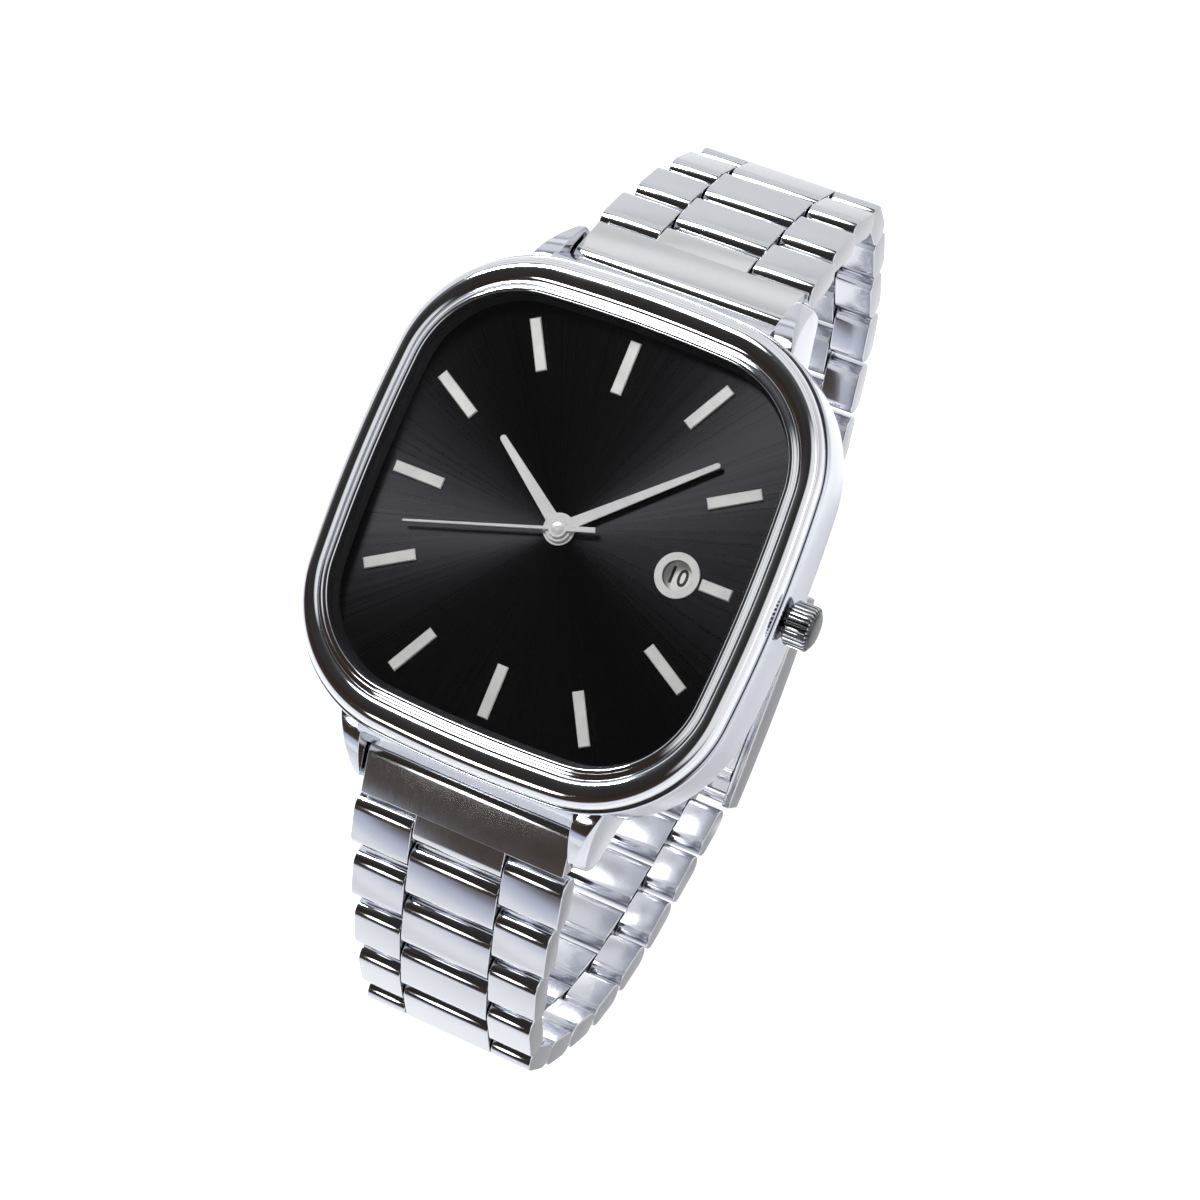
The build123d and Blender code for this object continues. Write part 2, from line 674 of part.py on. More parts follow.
bridge_plan = strip(post_one, polar(rotor_dist + seat_gap, step_angle), bridge_r)
bridge_plan += strip(step_xy, post_two, post_r)
bridge = slab(bridge_plan, bridge_low_z, bridge_top_z)
for x, y in ((0, 0), third_xy, step_xy, rotor_xy):
    bridge -= rod_z(arbor_r + pivot_gap, 0, plate_low_z, x, y)
for x, y in (post_one, post_two):
    bridge -= rod_z(screw_r + slim_gap, 0, plate_low_z, x, y)
save("train_bridge", bridge)

screws = []
for x, y, z in screw_at:
    screw = rod_z(screw_r, z - slim_gap, pivot_top_z - seat_gap, x, y)
    screw += rod_z(screw_head_r, z - screw_head, z, x, y)
    screw -= Pos(x, y, z - screw_head) * Box(2 * screw_head_r, screw_head / 2, screw_head / 2)
    screws.append(screw)
save("movement_screws", *screws)

# Battery, circuit board with its chip and quartz can
cell_top_z = plate_low_z - pivot_gap
cell = rod_z(battery_r, cell_top_z - battery_thick, cell_top_z, *battery_xy)
save("battery", chamfer(cell.edges().filter_by(GeomType.CIRCLE), battery_bevel))
sector = [polar(board_in, a) for a in board_in_angles]
sector += [polar(board_out, a) for a in board_out_angles]
board = slab(make_face(Polyline(*sector, close=True)), board_z, board_z + board_thick)
for x, y in board_posts:
    board -= rod_z(screw_r + slim_gap, 0, bezel_top_z, x, y)
board_mid = (board_in + board_out) / 2
chip = Pos(*polar(board_mid, chip_angle), board_z - chip_high / 2) * Box(chip_size, chip_size, chip_high)
can = rod_x(can_r, board_mid - can_len / 2, board_mid + can_len / 2, 0, board_z - can_r)
can = Rot(0, 0, can_angle) * can
save("circuit_board", board, chip, can)

# Stepping motor: stator plate under the main plate, and the coil on its core
core_z = centre_z - core_thick - stator_thick - seat_gap
turned = Rot(0, 0, step_angle)
stator_z = core_z + core_thick
stator_from, stator_to = rotor_dist - stator_margin, coil_dist - coil_r - seat_gap
stator_plan = Pos((stator_from + stator_to) / 2, 0) * Rectangle(stator_to - stator_from, 2 * stator_half)
ear_y = stator_half - core_half_w
for side in (1, -1):
    stator_plan += strip((coil_dist - 2 * coil_r, side * ear_y), (coil_dist, side * ear_y), core_half_w)
stator_plan -= Pos(rotor_dist, 0) * Circle(stator_hole_r)
save("stator", turned * slab(stator_plan, stator_z, stator_z + stator_thick))
core_at = Pos(coil_dist, 0, core_z + core_thick / 2)
core = core_at * Box(2 * core_half_w, 2 * stator_half, core_thick)
winding = core_at * Rot(90, 0, 0) * Cylinder(coil_r, 2 * coil_half)
winding -= core_at * Box(2 * (core_half_w + slim_gap), 2 * stator_half, core_thick + 2 * slim_gap)
save("coil", turned * core, turned * winding)

# Ring that centres the round movement in the square cavity
holder = slab(window_face(-cavity_inset - seat_gap), holder_low_z, dial_low_z - slim_gap)
holder -= rod_z(plate_r + seat_gap, 0, bezel_top_z)
holder -= rod_x(stem_r + 2 * seat_gap, 0, case_half_w, 0, crown_z)
save("movement_holder", holder)

date_z = dial_low_z - date_wheel_drop - date_wheel_thick
date_wheel = ring_z(date_wheel_r, date_x - date_wheel_in, date_z, date_z + date_wheel_thick)
save("date_wheel", date_wheel)

# Setting lever: a fork astride the neck of the stem, with a short arm
fork_low_z = crown_z - lever_drop
fork_x0 = stem_neck_x + pivot_gap
fork_x1 = stem_neck_x + stem_neck_len - pivot_gap
fork = Pos((fork_x0 + fork_x1) / 2, 0, (fork_low_z + crown_z + stem_neck_r) / 2) * Box(
    fork_x1 - fork_x0, lever_width, crown_z + stem_neck_r - fork_low_z)
slot_half = stem_neck_r + pivot_gap
fork -= Pos((fork_x0 + fork_x1) / 2, 0, crown_z + cut_over / 2) * Box(cut_over, 2 * slot_half, cut_over)
fork -= rod_x(slot_half, 0, plate_r, 0, crown_z)
arm = Pos((fork_x0 + fork_x1) / 2, lever_arm / 2, fork_low_z + lever_arm_high / 2) * Box(
    fork_x1 - fork_x0, lever_arm, lever_arm_high)
save("setting_lever", fork + arm)


def stadium_bar(u0, u1, x0, x1):
    """Bar across the band with round long edges; u runs along the band, from u0 to u1."""
    core_bar = Pos((x0 + x1) / 2, (u0 + u1) / 2, 0) * Box(x1 - x0, u1 - u0, link_thick)
    bar = core_bar + rod_x(link_r, x0, x1, u0, 0) + rod_x(link_r, x0, x1, u1, 0)
    faces = bar.faces().sort_by(Axis.X)
    return chamfer(faces[0].edges() + faces[-1].edges(), edge_break)


def place(side, y, z, heading):
    """Local link frame, with u along the band and w outwards, put at a hinge on one side."""
    if side > 0:
        return Pos(0, y, z) * Rot(-heading, 0, 0)
    return Pos(0, -y, z) * Rot(heading, 0, 0) * Rot(0, 0, 180)


half_pitch = link_pitch / 2
pin_hole_r = pin_r + pin_fit
outer_in = centre_half + row_gap


def link_solids(half):
    """Centre piece, two outer pieces, fixed pin and hinge pin of a link with the given half width."""
    pin_end = half - pin_cover
    tongue = stadium_bar(half_pitch, link_pitch, -centre_half, centre_half)
    tongue -= rod_x(pin_hole_r, -half, half, half_pitch, 0)
    tongue -= rod_x(pin_r + pivot_gap, -half, half, link_pitch, 0)
    solids = [tongue]
    outer = stadium_bar(0, half_pitch, outer_in, half)
    for piece in (outer, mirror(outer, Plane.YZ)):
        for u in (0, half_pitch):
            piece -= rod_x(pin_hole_r, -half - cut_over, pin_end, u, 0)
        solids.append(piece)
    return solids + [rod_x(pin_r, -pin_end, pin_end - pin_fit, u, 0) for u in (0, half_pitch)]


def chain(end_heading, headings):
    """Hinge points from the spring bar to the clasp, in Y and Z."""
    y = bar_y + end_link_len * cos(radians(end_heading))
    z = bar_z - end_link_len * sin(radians(end_heading))
    points = [(y, z)]
    for h in headings:
        y += link_pitch * cos(radians(h))
        z -= link_pitch * sin(radians(h))
        points.append((y, z))
    return points


# End links turn about the spring bars: a front bar with a square far edge, and a centre tongue
front = Pos(0, front_len / 2, 0) * Box(2 * end_link_half, front_len, link_thick)
front += rod_x(link_r, -end_link_half, end_link_half)
front_ends = front.faces().sort_by(Axis.X)
end_link = chamfer(front_ends[0].edges() + front_ends[-1].edges(), edge_break)
end_link += stadium_bar(0, end_link_len, -centre_half, centre_half)
end_link -= rod_x(bar_r + pivot_gap, -end_link_half - cut_over, end_link_half + cut_over)
end_link -= rod_x(pin_r + pivot_gap, -end_link_half, end_link_half, end_link_len, 0)
hinges = {}
for tag, side, end_heading, headings in (("12", 1, end_heading_12, headings_12),
                                         ("06", -1, end_heading_06, headings_06)):
    hinges[tag] = chain(end_heading, headings)
    save(f"end_link_{tag}", place(side, bar_y, bar_z, end_heading) * end_link)
    for number, ((y, z), heading, half) in enumerate(zip(hinges[tag], headings, link_halves), 1):
        where = place(side, y, z, heading)
        save(f"link_{tag}_{number:02d}", *[where * s for s in link_solids(half)])

# Clasp, from the last hinge of the six o'clock side to the last link of the twelve o'clock side
clasp_from, clasp_to = hinges["06"][-1], hinges["12"][-1]
clasp_len = hypot(clasp_to[0] + clasp_from[0], clasp_to[1] - clasp_from[1])
clasp_tilt = degrees(atan2(clasp_to[1] - clasp_from[1], clasp_to[0] + clasp_from[0]))
clasp_at = Pos(0, -clasp_from[0], clasp_from[1]) * Rot(clasp_tilt, 0, 0)
u_end = clasp_len - clasp_tail
u_mid = (u_end - clasp_lead) / 2


def arched(low_shift):
    return ThreePointArc((0, -clasp_lead, -clasp_end_w + low_shift), (0, u_mid, -clasp_crown_w + low_shift),
                         (0, u_end, -clasp_end_w + low_shift))


outside, inside = arched(0), arched(clasp_wall)
shell_face = make_face([outside, inside, Line(outside @ 0, inside @ 0), Line(outside @ 1, inside @ 1)])
shell = Pos(-clasp_half, 0, 0) * extrude(shell_face, 2 * clasp_half, dir=(1, 0, 0))
shell = fillet(shell.edges().filter_by(Axis.X).sort_by(Axis.Z)[:2], clasp_end_round)
wall_end_w, wall_mid_w = clasp_wall / 2 - clasp_end_w, clasp_wall / 2 - clasp_crown_w
wall_arc = ThreePointArc((0, -clasp_side_lead, wall_end_w), (0, u_mid, wall_mid_w), (0, u_end, wall_end_w))
wall_face = make_face([wall_arc, Line(wall_arc @ 1, (0, u_end, clasp_skirt_w)),
                       Line((0, u_end, clasp_skirt_w), (0, -clasp_side_lead, clasp_skirt_w)),
                       Line((0, -clasp_side_lead, clasp_skirt_w), wall_arc @ 0)])
side_wall = extrude(wall_face, clasp_side, dir=(1, 0, 0))
shell += Pos(clasp_half - clasp_side, 0, 0) * side_wall
shell += Pos(-clasp_half, 0, 0) * side_wall
hinge_u = clasp_len - blade_hinge_in
pin_half = clasp_half - clasp_side / 2
for u, r in ((0, pin_r), (hinge_u, blade_pin_r)):
    shell -= rod_x(r + pin_fit, -pin_half - pin_fit, pin_half + pin_fit, u, 0)
tongue_half = centre_half - row_gap
blade_in = tongue_half + blade_slot_gap
blade_out = clasp_half - clasp_side - blade_side_gap
short_pin = rod_x(blade_pin_r, blade_in, pin_half, hinge_u)
clasp_pins = [rod_x(pin_r, -pin_half, pin_half), short_pin, mirror(short_pin, Plane.YZ)]
save("clasp_cover", clasp_at * shell, *[clasp_at * p for p in clasp_pins])

# Fork blade: two arms joined by a bridge that runs under the tongue blade
fold_u = link_r + blade_end_gap + blade_knuckle_r
bridge_u = fold_u + blade_knuckle_r + blade_end_gap
bridge_w = -blade_thick / 2 - blade_under_gap - blade_thick
fork_arm = Pos((blade_in + blade_out) / 2, (fold_u + hinge_u) / 2, 0) * Box(
    blade_out - blade_in, hinge_u - fold_u, blade_thick)
for u in (fold_u, hinge_u):
    fork_arm += rod_x(blade_knuckle_r, blade_in, blade_out, u, 0)
foot_at = Pos(blade_in + blade_foot / 2, bridge_u + blade_bar_len / 2, (bridge_w + blade_thick / 2) / 2)
fork_arm += foot_at * Box(blade_foot, blade_bar_len, blade_thick / 2 - bridge_w)
fork_blade = fork_arm + mirror(fork_arm, Plane.YZ)
fork_blade += Pos(0, bridge_u + blade_bar_len / 2, bridge_w + blade_thick / 2) * Box(
    2 * blade_in, blade_bar_len, blade_thick)
fork_blade -= rod_x(blade_pin_r + pivot_gap, -blade_out - cut_over, blade_out + cut_over, hinge_u, 0)
fork_blade -= rod_x(blade_pin_r + pin_fit, -blade_out - cut_over, blade_out + cut_over, fold_u, 0)
fold_pin = rod_x(blade_pin_r, -blade_out, blade_out, fold_u, 0)
save("clasp_fork_blade", clasp_at * fork_blade, clasp_at * fold_pin)

tongue_end = hinge_u + tongue_over
tongue_blade = Pos(0, (fold_u + tongue_end) / 2, 0) * Box(2 * tongue_half, tongue_end - fold_u, blade_thick)
tongue_blade += rod_x(blade_knuckle_r, -tongue_half, tongue_half, fold_u, 0)
tongue_blade -= rod_x(blade_pin_r + pivot_gap, -blade_out, blade_out, fold_u, 0)
save("clasp_tongue_blade", clasp_at * tongue_blade)
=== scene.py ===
import json
from math import acos, atan2, cos, degrees, hypot, pi, radians, sin
import bpy
import numpy as np
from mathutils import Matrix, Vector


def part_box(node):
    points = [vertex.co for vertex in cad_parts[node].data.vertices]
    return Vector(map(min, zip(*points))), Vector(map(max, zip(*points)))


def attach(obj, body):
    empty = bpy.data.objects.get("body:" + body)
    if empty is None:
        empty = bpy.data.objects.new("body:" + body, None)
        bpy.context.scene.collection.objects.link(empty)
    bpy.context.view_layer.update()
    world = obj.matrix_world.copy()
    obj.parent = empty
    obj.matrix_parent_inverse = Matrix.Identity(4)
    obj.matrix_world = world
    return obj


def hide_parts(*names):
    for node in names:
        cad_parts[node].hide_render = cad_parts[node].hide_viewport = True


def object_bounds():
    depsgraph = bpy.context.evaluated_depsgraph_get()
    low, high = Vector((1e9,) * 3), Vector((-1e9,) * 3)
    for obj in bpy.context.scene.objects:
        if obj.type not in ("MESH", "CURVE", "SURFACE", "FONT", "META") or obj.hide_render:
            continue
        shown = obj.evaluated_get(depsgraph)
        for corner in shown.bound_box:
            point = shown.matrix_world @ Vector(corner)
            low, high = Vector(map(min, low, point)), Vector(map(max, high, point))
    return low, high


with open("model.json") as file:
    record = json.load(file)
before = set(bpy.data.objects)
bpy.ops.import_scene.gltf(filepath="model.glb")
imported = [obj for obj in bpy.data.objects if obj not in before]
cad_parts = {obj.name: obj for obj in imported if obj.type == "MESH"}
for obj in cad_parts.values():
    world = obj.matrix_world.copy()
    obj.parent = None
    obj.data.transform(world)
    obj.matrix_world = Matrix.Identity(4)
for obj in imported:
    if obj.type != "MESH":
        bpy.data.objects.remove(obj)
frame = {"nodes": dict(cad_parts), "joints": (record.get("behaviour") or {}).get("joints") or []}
cad_low, cad_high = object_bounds()

# Lengths in this script are in millimetres; the meshes are written in metres.
MM = 0.001
JOINTS = {j["name"]: j for j in frame["joints"]}


def node_box(node):
    """Lowest and highest corner of a CAD node, in millimetres."""
    low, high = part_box(node)
    return np.array(low) / MM, np.array(high) / MM


# Camera, fitted to the dial marks, the window, the lugs and the bracelet edges of the photograph
camera_at = (76.35, -12.45, 229.72)
camera_turn = (8.780, 15.604, 23.232)
camera_lens, camera_sensor = 83.97, 36

# Outlines: half sizes, radius of the long side arcs, of the end arcs and of the corners
bezel_outline = (20.15, 21.65, 119.0, 118.0, 12.3)
window_outline = (17.45, 18.15, 145.0, 144.0, 9.2)
inner_wall_out = 0.38
case_bulge = 0.4

# Heights, read from the solids
dial_z = node_box("dial")[1][2]
case_top_z, bezel_top_z = (corner[2] for corner in node_box("bezel"))
crystal_top_z = node_box("crystal")[1][2]
case_low_z = 1.1
case_low_round = 1.8
case_top_round = 0.3

# Lugs and the hood between them
lug_gap_half = 10.15
lug_root_out = 12.7
lug_tip_out = 11.45
lug_bend_y, lug_tip_y, lug_root_y = 20.4, 25.8, 16.0
lug_top_z, lug_tip_z = 7.5, 3.3
lug_toe_z, lug_root_low_z = 0.3, 2.0
lug_round = 0.12
lug_nose, lug_nose_in = 0.5, 0.45
lug_toe_len, lug_toe_rise = 0.9, 0.45
lug_facet, lug_facet_w, lug_facet_fall = 0.12, 0.75, 1.3

# Bracelet
link_pitch = 5.9
link_r = 1.25
centre_half = 4.4
row_gap = 0.1
edge_break, square_round = 0.14, 0.1
pin_r = 0.44
end_link_len = 5.55
front_len = 3.8

# Clasp cover
clasp_half = node_box("clasp_cover")[1][0]
clasp_wall, clasp_side = 0.8, 0.85
clasp_crown_w, clasp_end_w, clasp_skirt_w = 3.6, 2.55, 0.95
clasp_lead, clasp_tail, clasp_hinge_in = 0.95, 1.65, 2.6
clasp_end_round, clasp_corner_r, clasp_rim_r = 0.25, 0.5, 0.2

# Crown
crown_low, crown_high = node_box("crown")
crown_z = JOINTS["crown_turn"]["pos_m"][2] / MM
crown_r, crown_root_r, crown_flutes = 1.95, 1.76, 30
crown_face_r, crown_neck_r = 1.55, 1.1
crown_head_len, crown_cap_len = 2.53, 0.28

# Hands: length, width at the hub, width at the tip and hub radius, with the angle each one shows
hand_sizes = {"hour_hand": (9.7, 1.12, 0.6, 1.4, 305.5), "minute_hand": (14.7, 1.0, 0.5, 1.12, 48.3),
              "second_hand": (13.8, 0.28, 0.2, 0.8, 252.6)}
second_tail, second_tail_w = 3.3, 0.46
hand_bevel = 0.035

# Date
date_x = 11.0
date_window_r, date_ring_r = 1.27, 1.95
date_ring_high, date_ring_bevel = 0.14, 0.03
date_shown, day_count = 10, 31
# Height of the figures, the font's own height for a size of 1, and how much the two-figure dates narrow
figure_high, font_high, figure_narrow = 1.65, 0.73, 0.92


def grid_faces(rows, cols, close_rows, close_cols):
    """Quads between neighbouring points of a grid, running on past the last row or column if closed."""
    i, j = np.meshgrid(np.arange(rows if close_rows else rows - 1),
                       np.arange(cols if close_cols else cols - 1), indexing="ij")
    below, beside = (i + 1) % rows, (j + 1) % cols
    quads = np.stack([i * cols + j, below * cols + j, below * cols + beside, i * cols + beside], -1)
    return quads.reshape(-1, 4)


def loft(rings, closed=False):
    """Closed skin through loops of points: neighbouring loops are joined by quads, and the first and last
    loop are filled unless the loops themselves run in a ring. Faces are turned to point outwards, by the
    sign of the volume that they enclose."""
    rings = np.asarray(rings, float)
    count, around = rings.shape[:2]
    points = rings.reshape(-1, 3)
    quads = grid_faces(count, around, closed, True)
    a, b, c, d = (points[quads[:, k]] for k in range(4))
    volume = np.einsum("ij,ij->i", a, np.cross(b, c) + np.cross(c, d)).sum()
    caps = []
    if not closed:
        first, last = np.arange(around), np.arange(around) + (count - 1) * around
        caps = [first, last[::-1]]
        for cap in caps:
            p = points[cap]
            volume += np.einsum("ij,ij->i", np.repeat(p[:1], around - 2, 0), np.cross(p[1:-1], p[2:])).sum()
    faces = quads.tolist() + [cap.tolist() for cap in caps]
    if volume < 0:
        faces = [face[::-1] for face in faces]
    return points, faces


def piece(name, skins, material, body, stands_for=(), sharp=32, shine=None):
    """One named mesh object from one or more skins, smooth but for edges sharper than the given angle. Where
    a shine value is given for each point, it is kept on the mesh, with how far each face looks sideways,
    which the satin material uses to paint shade on those faces."""
    points, faces, start = [], [], 0
    for skin_points, skin_faces in skins:
        points.append(skin_points)
        faces += [[start + v for v in face] for face in skin_faces]
        start += len(skin_points)
    mesh = bpy.data.meshes.new(name)
    mesh.from_pydata((np.concatenate(points) * MM).tolist(), [], faces)
    mesh.shade_smooth()
    mesh.set_sharp_from_angle(angle=radians(sharp))
    if shine is not None:
        shine = np.asarray(shine, np.float32)
        mesh.attributes.new("shine", "FLOAT", "POINT").data.foreach_set("value", shine)
        # how far each face looks sideways: the satin material darkens these faces as painted shade
        normals = np.empty(3 * len(mesh.polygons), np.float32)
        mesh.polygons.foreach_get("normal", normals)
        sideways = np.ascontiguousarray(np.abs(normals[0::3]))
        mesh.attributes.new("flank_shade", "FLOAT", "FACE").data.foreach_set("value", sideways)
    mesh.materials.append(material)
    obj = bpy.data.objects.new(name, mesh)
    bpy.context.scene.collection.objects.link(obj)
    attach(obj, body)
    if stands_for:
        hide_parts(*stands_for)
    return obj


def outline(sizes, per_arc=64):
    """Points and outward normals round eight tangent arcs. A point is its arc's centre plus the radius
    times (cos a, sin a), with the angle a spaced evenly along the arc."""
    half_w, half_h, side_r, end_r, corner_r = sizes
    ax, by = half_w - side_r, half_h - end_r
    span = hypot(ax, by)
    along = ((side_r - corner_r) ** 2 - (end_r - corner_r) ** 2 + span ** 2) / (2 * span)
    off = ((side_r - corner_r) ** 2 - along ** 2) ** 0.5
    cx, cy = ax - along * ax / span - off * by / span, along * by / span - off * ax / span
    ta, tb = atan2(cy, cx - ax), atan2(cy - by, cx)
    centres = np.array([(ax, 0), (cx, cy), (0, by), (-cx, cy), (-ax, 0), (-cx, -cy), (0, -by), (cx, -cy)])
    radii = np.array([side_r, corner_r, end_r, corner_r] * 2)
    starts = np.array([-ta, ta, tb, pi - tb, pi - ta, pi + ta, pi + tb, 2 * pi - tb])
    stops = np.array([ta, tb, pi - tb, pi - ta, pi + ta, pi + tb, 2 * pi - tb, 2 * pi - ta])
    angle = starts[:, None] + (stops - starts)[:, None] * np.arange(per_arc) / per_arc
    normal = np.stack([np.cos(angle), np.sin(angle)], -1)
    return (centres[:, None] + radii[:, None, None] * normal).reshape(-1, 2), normal.reshape(-1, 2)


def round_frame(profile):
    """Frame from a closed profile carried round the case. A profile row is (share, out, z): the point lies
    at that share of the way from the bezel's outline to the bezel's inner wall, then out along the normal."""
    share, out, z = np.array(profile, float).T
    outer, outer_n = outline(bezel_outline)
    inner, inner_n = outline(window_outline)
    inner = inner + inner_n * inner_wall_out
    normal = outer_n[:, None] * (1 - share)[:, None] + inner_n[:, None] * share[:, None]
    flat = outer[:, None] * (1 - share)[:, None] + inner[:, None] * share[:, None] + normal * out[:, None]
    return loft(np.dstack([flat, np.broadcast_to(z, flat.shape[:2])]), closed=True)


def arc_points(centre_a, centre_b, ra, rb, start, stop, steps):
    """Points on an ellipse from one angle to another: centre plus (ra cos t, rb sin t)."""
    t = np.radians(np.linspace(start, stop, steps))
    return np.stack([centre_a + ra * np.cos(t), centre_b + rb * np.sin(t)], -1)


# Materials
class Finish:
    """A material under construction: node helpers round one Principled shader."""

    def __init__(self, name, colour, rough, metallic=0.0):
        self.material = bpy.data.materials.new(name)
        self.material.use_nodes = True
        self.tree = self.material.node_tree
        self.shader = self.tree.nodes["Principled BSDF"]
        self.set("Base Color", (*colour, 1))
        self.set("Roughness", rough)
        self.set("Metallic", metallic)
        self.colour, self.rough = colour, rough
        self.place = self.node("ShaderNodeTexCoord").outputs["Object"]

    def set(self, socket, value):
        self.shader.inputs[socket].default_value = value

    def node(self, kind, **settings):
        made = self.tree.nodes.new(kind)
        for key, value in settings.items():
            setattr(made, key, value)
        return made

    def join(self, source, target):
        self.tree.links.new(source, target)

    def noise(self, scale, detail=3.0, stretch=(1, 1, 1), vector=None):
        """Noise on the piece's own coordinates, with features of about 1/scale metres."""
        turn = self.node("ShaderNodeMapping")
        turn.inputs["Scale"].default_value = stretch
        self.join(vector or self.place, turn.inputs["Vector"])
        made = self.node("ShaderNodeTexNoise")
        made.inputs["Scale"].default_value = scale
        made.inputs["Detail"].default_value = detail
        self.join(turn.outputs["Vector"], made.inputs["Vector"])
        return made.outputs["Fac"]

    def spread(self, value, low, high, from_low=0.3, from_high=0.7):
        made = self.node("ShaderNodeMapRange")
        numbers = {"From Min": from_low, "From Max": from_high, "To Min": low, "To Max": high}
        for key, number in numbers.items():
            made.inputs[key].default_value = number
        self.join(value, made.inputs["Value"])
        return made.outputs["Result"]

    def math(self, operation, a, b):
        made = self.node("ShaderNodeMath", operation=operation)
        for k, value in enumerate((a, b)):
            if isinstance(value, (int, float)):
                made.inputs[k].default_value = value
            else:
                self.join(value, made.inputs[k])
        return made.outputs["Value"]

    def tint(self, value, dark, light):
        """Base colour between the colour times dark and the colour times light, as the value goes 0 to 1."""
        made = self.node("ShaderNodeMix", data_type="RGBA")
        made.inputs["A"].default_value = (*[c * dark for c in self.colour], 1)
        made.inputs["B"].default_value = (*[min(1, c * light) for c in self.colour], 1)
        self.join(value, made.inputs["Factor"])
        self.join(made.outputs["Result"], self.shader.inputs["Base Color"])

    def bump(self, height, strength, depth_mm):
        made = self.node("ShaderNodeBump")
        made.inputs["Strength"].default_value = strength
        made.inputs["Distance"].default_value = depth_mm * MM
        self.join(height, made.inputs["Height"])
        self.join(made.outputs["Normal"], self.shader.inputs["Normal"])


def polished(name, colour, rough=0.05, haze=0.05):
    """Mirror polish with faint handling haze and hairlines."""
    f = Finish(name, colour, rough, 1.0)
    smear = f.noise(260, 4)
    hair = f.noise(3200, 2, (1, 6, 1))
    f.join(f.math("ADD", f.spread(smear, rough * 0.7, rough + haze), f.spread(hair, 0, 0.02)),
           f.shader.inputs["Roughness"])
    f.tint(f.spread(smear, 0, 1), 0.95, 1.03)
    f.bump(hair, 0.02, 0.004)
    return f.material


def grooved(name, colour, rough):
    """Polished crown steel with painted shade in the grooves: the tint follows the distance from the crown's
    axis.
    """
    f = Finish(name, colour, rough, 1.0)
    across_axis = f.node("ShaderNodeVectorMath", operation="MULTIPLY_ADD")
    across_axis.inputs[1].default_value = (0, 1, 1)
    across_axis.inputs[2].default_value = (0, 0, -crown_z * MM)
    f.join(f.place, across_axis.inputs[0])
    radius = f.node("ShaderNodeVectorMath", operation="LENGTH")
    f.join(across_axis.outputs[0], radius.inputs[0])
    # painted shade: the colour falls to 0.12 of itself at the bottom of the flutes
    f.tint(f.spread(radius.outputs["Value"], 0, 1, crown_root_r * MM, crown_r * MM), 0.12, 1.0)
    hair = f.noise(3200, 2, (1, 6, 1))
    f.join(f.spread(hair, rough - 0.02, rough + 0.04), f.shader.inputs["Roughness"])
    f.bump(hair, 0.02, 0.004)
    return f.material


def satin(name, colour, rough=0.3, along="Y", grain=26000, depth=0.0012, edges=False):
    """Satin steel: fine brush lines along one axis. With edges, the mesh's shine value turns the rolled
    edges to mirror polish, and its flank value paints shade on the ends, down to 0.6 of the colour
    where a face looks sideways."""
    f = Finish(name, colour, rough, 1.0)
    stretch = {"X": (0.03, 1, 1), "Y": (1, 0.03, 0.03), "Z": (1, 1, 0.03)}[along]
    brush = f.noise(grain, 4, stretch)
    cloud = f.noise(180, 3)
    roughness = f.math("ADD", f.spread(brush, rough - 0.02, rough + 0.04), f.spread(cloud, -0.01, 0.02))
    f.tint(f.spread(brush, 0, 1), 0.975, 1.02)
    if edges:
        shine = f.node("ShaderNodeAttribute", attribute_name="shine").outputs["Fac"]
        mix = f.node("ShaderNodeMix", data_type="FLOAT")
        f.join(shine, mix.inputs["Factor"])
        f.join(roughness, mix.inputs["A"])
        mix.inputs["B"].default_value = 0.09
        roughness = mix.outputs["Result"]
        brush = f.math("MULTIPLY", brush, f.math("SUBTRACT", 1.0, shine))
        flank_shade = f.node("ShaderNodeAttribute", attribute_name="flank_shade").outputs["Fac"]
        # painted shade: faces that look sideways along X go down to 0.6 of the colour
        f.tint(f.spread(flank_shade, 1, 0, 0.85, 0.97), 0.6, 1.0)
    f.join(roughness, f.shader.inputs["Roughness"])
    f.bump(brush, 0.12, depth)
    return f.material


def plain(name, colour, rough=0.5, metallic=0.0, grain=2500, depth=0.01):
    """Moulded, printed or stamped surface: faint colour clouds and a fine grain."""
    f = Finish(name, colour, rough, metallic)
    cloud = f.noise(400, 4)
    fine = f.noise(grain, 3)
    f.tint(f.spread(cloud, 0, 1), 0.9, 1.08)
    f.join(f.spread(fine, rough - 0.06, rough + 0.08), f.shader.inputs["Roughness"])
    f.bump(fine, 0.15, depth)
    return f.material


def sunray(name):
    """Black dial with brushing that runs out from the centre; the clear lacquer over it is not drawn. The
    streaks are noise read at the unit vector of each point's direction, so they depend on the angle alone."""
    f = Finish(name, (0.026, 0.026, 0.029), 0.30, 1.0)
    flat = f.node("ShaderNodeVectorMath", operation="MULTIPLY")
    flat.inputs[1].default_value = (1, 1, 0)
    f.join(f.place, flat.inputs[0])
    unit = f.node("ShaderNodeVectorMath", operation="NORMALIZE")
    f.join(flat.outputs[0], unit.inputs[0])
    streak = f.noise(150, 5, vector=unit.outputs[0])
    grain = f.noise(7000, 2)
    f.tint(f.spread(streak, 0, 1), 0.94, 1.06)
    roughness = f.math("ADD", f.spread(streak, 0.26, 0.36), f.spread(grain, -0.02, 0.02))
    f.join(roughness, f.shader.inputs["Roughness"])
    f.set("Anisotropic", 0.85)
    tangent = f.node("ShaderNodeTangent", direction_type="RADIAL", axis="Z")
    f.join(tangent.outputs["Tangent"], f.shader.inputs["Tangent"])
    f.bump(streak, 0.05, 0.002)
    return f.material


def glass(name):
    """Clear crystal: a faint mirror, so that only its glints show over the dial."""
    f = Finish(name, (0.97, 0.98, 0.99), 0.02, 1.0)
    f.set("Alpha", 0.04)
    f.bump(f.noise(300, 2), 0.01, 0.002)
    return f.material


